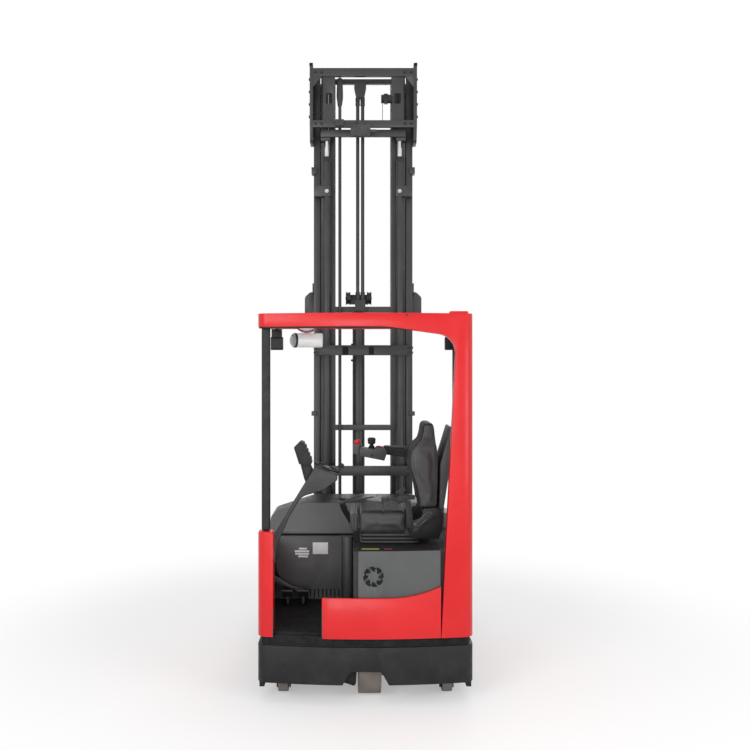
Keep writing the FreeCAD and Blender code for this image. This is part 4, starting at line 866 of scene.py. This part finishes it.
def makeLamp():
    node = "cab_lamp"
    centre = mm(-360, 375.7, 2122)
    r = lampLook["radius"]
    barrel = [(0, -98), (r - 11, -98), (r - 3, -94), (r, -86), (r, -34), (r - 1.6, -32), (r - 1.6, -27),
              (r, -25), (r, 52), (r, 70), (0, 70)]
    ring = [(r - 4, 69), (r + 0.8, 70), (r + 0.8, 82), (r - 2, 85), (r - 4, 83)]
    lens = [(0, 70.2), (r - 4.4, 70.2), (r - 3.2, 85), (r - 6, 91), (r - 18, 99), (0, 103)]
    for name, profile, finish, closed in (("lampBarrel", barrel, "whitePlastic", False),
                                          ("lampRing", ring, "blackTrim", True),
                                          ("lampLens", lens, "lampLens", False)):
        leaned(lathe(name, profile, (-1, 0, 0), centre, finish, node, 64, closed, True), centre)
    # round foot with a bowl under it and a red bail
    foot = [(0, 0), (58, 0), (61, -3), (61, -13), (57, -20), (50, -34), (36, -45), (18, -50), (0, -50.5)]
    lathe("lampFoot", foot, (0, 0, 1), mm(-360, 375.7, 2217.6), "whitePlastic", node, 64, replaces=True)
    bail = lampLook["bailRadius"]
    for name, drop, radius, finish in (("lampBail", 0, bail, "redPaint"),
                                       ("lampBailLiner", 6, bail - 0.6, "blackTrim")):
        arc = [mm(-360 + (66 - drop) * cos(a), 318, 2212 - (43 - drop) * sin(a))
               for a in (pi * i / 8 for i in range(9))]
        tube(name, arc, radius, finish, node)


def makeWorkLights():
    # bracket plate above each box and a lens on its front
    for side, name in ((-1, "Left"), (1, "Right")):
        bracket = oblong(side * 620, side * 549, 2152, 2212)
        slab("lightBracket" + name, bracket, 748, 756, 1.5, "framePaint", "work_lights")
        lens = oblong(side * 611, side * 557, 2090, 2146)
        slab("workLens" + name, lens, 786, 795.4, 3, "lampLens", "work_lights")


# a face belongs to the groove if it lies this much deeper than the lid beside it
grooveLook = {"left": -0.190, "right": -0.012, "lid": -0.24, "bottom": 0.846, "depth": 0.006}


def makeHoodGroove():
    hood = softened["hood"]
    tree = surfaceOf(hood)
    chosen = set()
    for face in hood.data.polygons:
        x, y, z = face.center
        within = grooveLook["left"] < x < grooveLook["right"] and z > grooveLook["bottom"]
        if within and face.normal.y < -0.05:
            lid = hitOn(tree, Vector((grooveLook["lid"], y - 1.0, z)), (0, 1, 0))
            if lid is not None and y - lid.y > grooveLook["depth"]:
                chosen.add(face.index)
    # the groove's faces get the near-black rubber finish: painted shade in the recessed groove
    darken(hood, "matRubber", lambda face: face.index in chosen)
    # the flat faces on top of the hood get the black trim finish: painted shade on the top
    darken(hood, "blackTrim", lambda face: face.normal.z > 0.94 and face.center.z > 1.02)
    # two shallow ribs across the top, and the bar on the lid's catch
    for i, (x0, y0, x1, y1) in enumerate(((-159, 885, -3, 1120), (-128, 885, 66, 1040)), 1):
        line = [mm(x0 + (x1 - x0) * k / 8, y0 + (y1 - y0) * k / 8, 1300) for k in range(9)]
        places = hitsOn(tree, line, (0, 0, -1), (0, 0, 0.001))
        tube("hoodRib%d" % i, places, 4.5, "hoodPlastic", "hood")
    slab("catchBar", oblong(139, 154, 1014, 1072), 795.8, 801, 1.2, "hoodPlastic", "hood")
    print("groove faces:", len(chosen))


# the top of the CAD lever is cut off between these places in X, at this height, and a lobed one takes over
armrestLook = {"leverFrom": 0.010, "leverTo": 0.090, "cut": 1.4485, "rings": 6, "ringPitch": 10.5}


def cutLever():
    mesh = softened["armrest"].data
    bm = bmesh.new()
    bm.from_mesh(mesh)
    near = [face for face in bm.faces
            if armrestLook["leverFrom"] < face.calc_center_median().x < armrestLook["leverTo"]]
    parts = near + list({edge for face in near for edge in face.edges})
    parts += list({vertex for face in near for vertex in face.verts})
    cut = bmesh.ops.bisect_plane(bm, geom=parts, plane_co=(0, 0, armrestLook["cut"]), plane_no=(0, 0, 1),
                                 clear_outer=True)
    edges = [item for item in cut["geom_cut"] if isinstance(item, bmesh.types.BMEdge)]
    bmesh.ops.holes_fill(bm, edges=edges)
    bm.to_mesh(mesh)
    bm.free()


def makeArmrestParts():
    node = "armrest"
    # grey rings stacked round the stop switch, and a lobed hand lever
    profile = [(26.1, 1391)]
    for i in range(armrestLook["rings"]):
        z = 1391 + armrestLook["ringPitch"] * i
        profile += [(26.4, z), (28.6, z + 2), (29.2, z + 5), (28.6, z + 8), (26.4, z + 10)]
    profile.append((26.1, z + 10))
    lathe("switchRings", profile, (0, 0, 1), mm(-45, 609.7, 0), "greyTrim", node, 56, True)
    cutLever()
    darken(softened[node], "darkPlastic", lambda face: face.center.x < 0.126)
    slab("consoleMark", oblong(42, 57, 1377, 1392), 563.4, 565.5, 0.8, "blackTrim", node)
    ramp = [(66, 1424), (140, 1409), (135, 1424), (120, 1433), (86, 1444), (74, 1441)]
    slab("switchRamp", ramp, 582, 589, 1.5, "blackTrim", node)
    knob = [(0, 1448), (9, 1448), (12, 1452), (19, 1457), (22.5, 1465), (21, 1472), (23.2, 1480), (22, 1490),
            (14, 1497), (0, 1498)]
    lathe("handLever", knob, (0, 0, 1), mm(48, 609.7, 0), "blackTrim", node, 60, lobes=(4, 0.17))
    boot = [(16, 1421), (24, 1423), (21, 1428), (23, 1431), (18, 1436), (20, 1439), (13, 1445), (11.5, 1449),
            (11.2, 1449), (11.2, 1421)]
    lathe("leverBoot", boot, (0, 0, 1), mm(48, 609.7, 0), "matRubber", node, 40, True)
    pad = [(126, 1427.5), (276, 1421), (276, 1431), (262, 1436), (140, 1442), (126, 1437)]
    slab("armrestPad", pad, 651, 675, 4, "seatVinyl", node)


# plates stay blank: left, right, bottom and top of each on the wall, and the strips on the motor cover
plateLook = {
    "thickness": 0.7, "edge": 0.3, "stripTop": 885.05,
    "wallPlate": (-341, -240, 716, 793), "linePlate1": (-433, -379, 746, 758),
    "linePlate2": (-460, -364, 728, 741), "linePlate3": (-458, -366, 711, 724),
    "linePlate4": (-437, -373, 694, 707),
    "yellowStrip": (-22, 81), "redStrip": (109, 159),
}


def makePlates():
    # thin plates that face the rear, each laid on the wall behind it
    wall = surfaceOf(softened["bulkhead_cover"])
    thickness, edge = plateLook["thickness"], plateLook["edge"]
    for name in ("wallPlate", "linePlate1", "linePlate2", "linePlate3", "linePlate4"):
        x0, x1, z0, z1 = plateLook[name]
        y = (hitOn(wall, mm((x0 + x1) / 2, -300, (z0 + z1) / 2), (0, 1, 0)).y - cornerY) * 1000
        slab(name, oblong(x0, x1, z0, z1), y - thickness, y + 0.2, edge, "plateWhite", "bulkhead_cover")
    darken(softened["motor_cover"], "matRubber", lambda face: face.normal.z > 0.9 and face.center.z > 0.884)
    for name, finish in (("yellowStrip", "stripYellow"), ("redStrip", "stripRed")):
        strip = oblong(*plateLook[name], plateLook["stripTop"], plateLook["stripTop"] + thickness)
        slab(name, strip, 14, 50, edge, finish, "motor_cover")


def makeTree(name, inputs, build):
    # instances of what build makes, one on each point of the holder and turned to its facing
    tree = bpy.data.node_groups.new(name, "GeometryNodeTree")
    kinds = {"Geometry": "Geometry", **{label: "Float" for label in inputs}, "Finish": "Material"}
    sockets = {label: tree.interface.new_socket(label, in_out="INPUT", socket_type="NodeSocket" + kind)
               for label, kind in kinds.items()}
    tree.interface.new_socket("Geometry", in_out="OUTPUT", socket_type="NodeSocketGeometry")
    source = addNode(tree, "NodeGroupInput")
    facing = addNode(tree, "GeometryNodeInputNamedAttribute", {"Name": "facing"}, data_type="FLOAT_VECTOR")
    turn = addNode(tree, "FunctionNodeAlignRotationToVector", {"Vector": facing.outputs["Attribute"]},
                   axis="Z")
    size = addNode(tree, "GeometryNodeInputNamedAttribute", {"Name": "size"}, data_type="FLOAT")
    spread = addNode(tree, "GeometryNodeInstanceOnPoints", {
        "Points": source.outputs["Geometry"], "Instance": build(tree, source),
        "Rotation": turn.outputs["Rotation"], "Scale": size.outputs["Attribute"]})
    real = addNode(tree, "GeometryNodeRealizeInstances", {"Geometry": spread.outputs["Instances"]})
    paint = addNode(tree, "GeometryNodeSetMaterial", {"Geometry": real.outputs["Geometry"],
                                                      "Material": source.outputs["Finish"]})
    addNode(tree, "NodeGroupOutput", {"Geometry": paint.outputs["Geometry"]})
    return tree, sockets


def scatter(name, kit, places, values, finish, node):
    # places: (point, facing, size); each body has a piece of its own
    tree, sockets = kit
    mesh = bpy.data.meshes.new(name)
    mesh.from_pydata([place for place, facing, size in places], [], [])
    facings = mesh.attributes.new("facing", "FLOAT_VECTOR", "POINT")
    facings.data.foreach_set("vector", [part for place, facing, size in places for part in facing])
    sizes = mesh.attributes.new("size", "FLOAT", "POINT")
    sizes.data.foreach_set("value", [size for place, facing, size in places])
    holder = placed(name, mesh)
    modifier = holder.modifiers.new("spread", "NODES")
    modifier.node_group = tree
    for label, value in {**values, "Finish": finishes[finish]}.items():
        modifier[sockets[label].identifier] = value
    settle(baked(holder), finish, node, angle=30)


def cylinderNode(sides, radius, depth, lift):
    drum = addNode(radius, "GeometryNodeMeshCylinder", {"Vertices": sides, "Radius": radius, "Depth": depth})
    place = addNode(radius, "ShaderNodeCombineXYZ", {"Z": lift})
    moved = {"Geometry": drum.outputs["Mesh"], "Translation": place.outputs[0]}
    return addNode(radius, "GeometryNodeTransform", moved).outputs["Geometry"]


def boltShape(tree, source):
    # hex head standing on a round washer
    width, height, washer = (source.outputs[label] for label in boltLook)
    thin = product(height, 0.3)
    low = cylinderNode(14, product(washer, 0.5), thin, product(thin, 0.5))
    high = cylinderNode(6, product(width, 0.577), height, product(height, 0.8))
    both = addNode(tree, "GeometryNodeJoinGeometry")
    for part in (low, high):
        tree.links.new(part, both.inputs[0])
    return both.outputs[0]


def ribShape(tree, source):
    sides = {axis: source.outputs[label] for axis, label in zip("XYZ", ("Length", "Width", "Height"))}
    size = addNode(tree, "ShaderNodeCombineXYZ", sides)
    return addNode(tree, "GeometryNodeMeshCube", {"Size": size.outputs[0]}).outputs["Mesh"]


boltLook = {"Head Width": 0.017, "Head Height": 0.006, "Washer Width": 0.024}


def makeBolts():
    kit = makeTree("boltTree", tuple(boltLook), boltShape)
    rear = (0, -1, 0)
    bright = [(mm(side * 265, 1235.7, 3242), rear, 1.2) for side in (-1, 1)]
    scatter("bracketBolts", kit, bright, boltLook, "zincBolt", "mast_brackets")
    dark = []
    for side in (-1, 1):
        for z in (1198, 1232, 2066, 2101):
            dark += [(mm(side * x, 1175.7, z), rear, 0.9) for x in (328, 348)]
        for z in (3713, 4083):
            dark += [(mm(side * x, 1171.7, z), rear, 0.9) for x in (300, 344)]
        for y, levels in ((1202, (3770, 3860, 3950, 4040)), (1380, (3700, 3850, 4000))):
            dark += [(mm(side * 386.3, y, z), (side, 0, 0), 1.0) for z in levels]
    scatter("mastBolts", kit, dark, boltLook, "blackBolt", "outer_mast")
    for side, x in (("left", -490), ("right", 490)):
        caps = [(mm(x + hand * 44, 177.7, 78), (hand, 0, 0), 0.9) for hand in (-1, 1)]
        scatter("castorBolts" + side.capitalize(), kit, caps, boltLook, "zincBolt", "castor_fork_" + side)
    guard = hitOn(surfaceOf(softened["guard_frame"]), mm(238, -300, 2252), (0, 1, 0))
    scatter("guardScrew", kit, [(guard, rear, 0.55)], boltLook, "blackBolt", "guard_frame")
    for node, hand, reach in (("drive_wheel", 1, 96), ("load_wheel_left", 1, 62),
                              ("load_wheel_right", -1, 62)):
        name, radius, width, bore, (x, y, z) = wheelSizes[node]
        face = x + hand * width / 2 * wheelLook["web"]
        ring = [(mm(face, y + reach * cos(a), z + reach * sin(a)), (hand, 0, 0), 1.0)
                for a in circle(8)]
        scatter(name + "Nuts", kit, ring, boltLook, "zincBolt", node)


matLook = {"pitch": 19.0, "first": -585.0, "count": 26, "y0": 20.0, "y1": 520.0}


def makeRibs():
    kit = makeTree("ribTree", ("Length", "Width", "Height"), ribShape)
    y0, y1 = matLook["y0"], matLook["y1"]
    rows = [(mm(matLook["first"] + matLook["pitch"] * i, (y0 + y1) / 2, 408.7), (0, 0, 1), 1.0)
            for i in range(matLook["count"])]
    sizes = {"Length": 0.006, "Width": (y1 - y0) / 1000, "Height": 0.0016}
    scatter("matRibs", kit, rows, sizes, "matRubber", "floor_plate")
    lean = radians(55)
    along = Vector((0, -sin(lean), cos(lean)))
    out = Vector((0, -cos(lean), -sin(lean)))
    sizes = {"Length": 0.066, "Width": 0.006, "Height": 0.0024}
    for i, x in enumerate((-500, -400), 1):
        foot = mm(x, 640 - 0.3, 448)
        rows = [(foot + along * (0.016 + 0.013 * k) + out * 0.0052, tuple(out), 1.0) for k in range(7)]
        scatter("pedalRubber%d" % i, kit, rows, sizes, "matRubber", "pedals")


# blade: radius and turn of each corner, in mm and degrees
ventLook = {"centre": (46, 737), "count": 8, "clear": 817, "blade": ((31, 6), (61, 26), (61, -2), (31, -22)),
            "out": -0.0009, "into": 0.0003}


def makeVentBlades():
    # slanted blades over the ring of air slots; the cover's face only bends with x
    tree = surfaceOf(softened["motor_cover"])
    x0, z0 = ventLook["centre"]
    bm = bmesh.new()
    for start in circle(ventLook["count"]):
        corners = []
        for radius, turn in ventLook["blade"]:
            angle = start + radians(turn)
            face = hitOn(tree, mm(x0 + radius * cos(angle), -300, ventLook["clear"]), (0, 1, 0))
            corners.append(Vector((face.x, face.y, (z0 + radius * sin(angle)) / 1000)))
        addLoft(bm, [[corner + Vector((0, ventLook[level], 0)) for corner in corners]
                     for level in ("out", "into")])
    settle(bevelled(fromBmesh("ventBlades", bm), 0.0003, 1), "matRubber", "motor_cover")


def makeWellParts():
    # trim strips beside the foot well, a slanted kick bar, slots of the wall's grille
    slab("wellEdgeLeft", oblong(-541.5, -538.6, 383, 560), -14.6, -12, 0.5, "greyTrim", "corner_column")
    slab("wellEdgeRight", oblong(-252.5, -249.5, 383, 560), -49.8, -46, 0.5, "greyTrim", "rear_panel")
    kick = [(-599, 590), (-560, 572), (-486, 524), (-402, 498), (-402, 484), (-490, 506), (-599, 552)]
    slab("kickBar", kick, 640, 652, 2, "greyTrim", "pedals")
    # the faces deep in the wall's grille slots get the near-black rubber finish: painted shade in the slots
    darken(softened["bulkhead_cover"], "matRubber",
           lambda face: 0.42 < face.center.z < 0.495 and face.center.y > cornerY + 0.7035
           and -0.41 < face.center.x < -0.15)
    arch = [(-160, 132), (-116, 120), (-66, 104), (-56, 116), (-50, 186), (-160, 186)]
    slab("archGuard", arch, -30.5, -14, 3, "matRubber", "chassis")
    darken(softened["chassis"], "matRubber",
           lambda face: 0.336 < face.center.z < 0.384 and face.center.y < cornerY + 0.09
           and face.normal.y < -0.02)
    for side, x in (("left", -490), ("right", 490)):
        for i, shift in enumerate((-43, 34), 1):
            blade = oblong(x + shift, x + shift + 9, 25, 53)
            slab("scraper%s%d" % (side.capitalize(), i), blade, 168, 188, 1.5, "framePaint",
                 "castor_fork_" + side)


def makeMastParts():
    # crimped sleeves and hex nuts at the hose ends, gland nuts on the lift cylinders
    sleeve = [(12.7, 0), (15.5, 0), (16.5, 6), (16.5, 30), (14.5, 33), (14.5, 37), (16.5, 40), (16.5, 56),
              (15, 60), (12.7, 60)]
    for i, x in enumerate((-40, -4), 1):
        for j, (z, up) in enumerate(((2450, 1), (3926, -1)), 1):
            lathe("hoseSleeve%d%d" % (i, j), sleeve, (0, 0, up), mm(x, 1261.4, z), "blackBolt",
                  "hose_pair", 32, True)
    sleeve = [(11.7, 0), (15, 0), (15.5, 4), (15.5, 44), (14, 48), (11.7, 48)]
    lathe("supplySleeve", sleeve, (0, 0, 1), mm(-170, 1251.7, 482), "blackBolt", "supply_hose", 32, True)
    gland = [(26.1, -36), (28.4, -34), (28.4, -6), (26.6, -1), (26.1, -1)]
    for x, name in ((-265, "glandLeft"), (265, "glandRight")):
        lathe(name, gland, (0, 0, 1), mm(x, 1261.7, 3495), "blackBolt", "lift_cylinders", 48, True)
    darken(softened["free_lift_rod"], "blackBolt", lambda face: face.center.z > 2.408)
    for i, (x0, x1) in enumerate(((-150.5, -108), (39, 76)), 1):
        slab("crossBarPad%d" % i, oblong(x0, x1, 2051, 2109), 1173.9, 1177, 0.8, "matRubber",
             "outer_mast")
    for side, name in ((-1, "plateCapLeft"), (1, "plateCapRight")):
        cap = oblong(side * 388.3, side * 364, 4127, 4149.6)
        slab(name, cap, 1168.2, 1186, 1.5, "matRubber", "outer_mast")
    knob = [(0, -2), (7, -2), (8, 0), (8, 9), (6, 12), (0, 13)]
    for i, z in enumerate((2014, 2131), 1):
        lathe("cylinderKnob%d" % i, knob, (-1, 0, 0), mm(-77.5, 1384.7, z), "blackBolt",
              "free_lift_cylinder", 24)


makeCushion()
makeBackrest()
makeBellows()
makeCheek()
print("seat ready")
makeSteeringWheel()
for node in wheelSizes:
    makeWheel(node)
print("wheels ready")
makeLamp()
makeWorkLights()
makeHoodGroove()
makeArmrestParts()
makePlates()
makeVentBlades()
makeWellParts()
print("cab fittings ready")
makeMastParts()
makeBolts()
makeRibs()
print("bolts, ribs and mast parts ready")

scene.view_settings.view_transform = "Standard"
makeCamera()
makeWorld()
makeFloor()
makeLights()
print("stage ready")
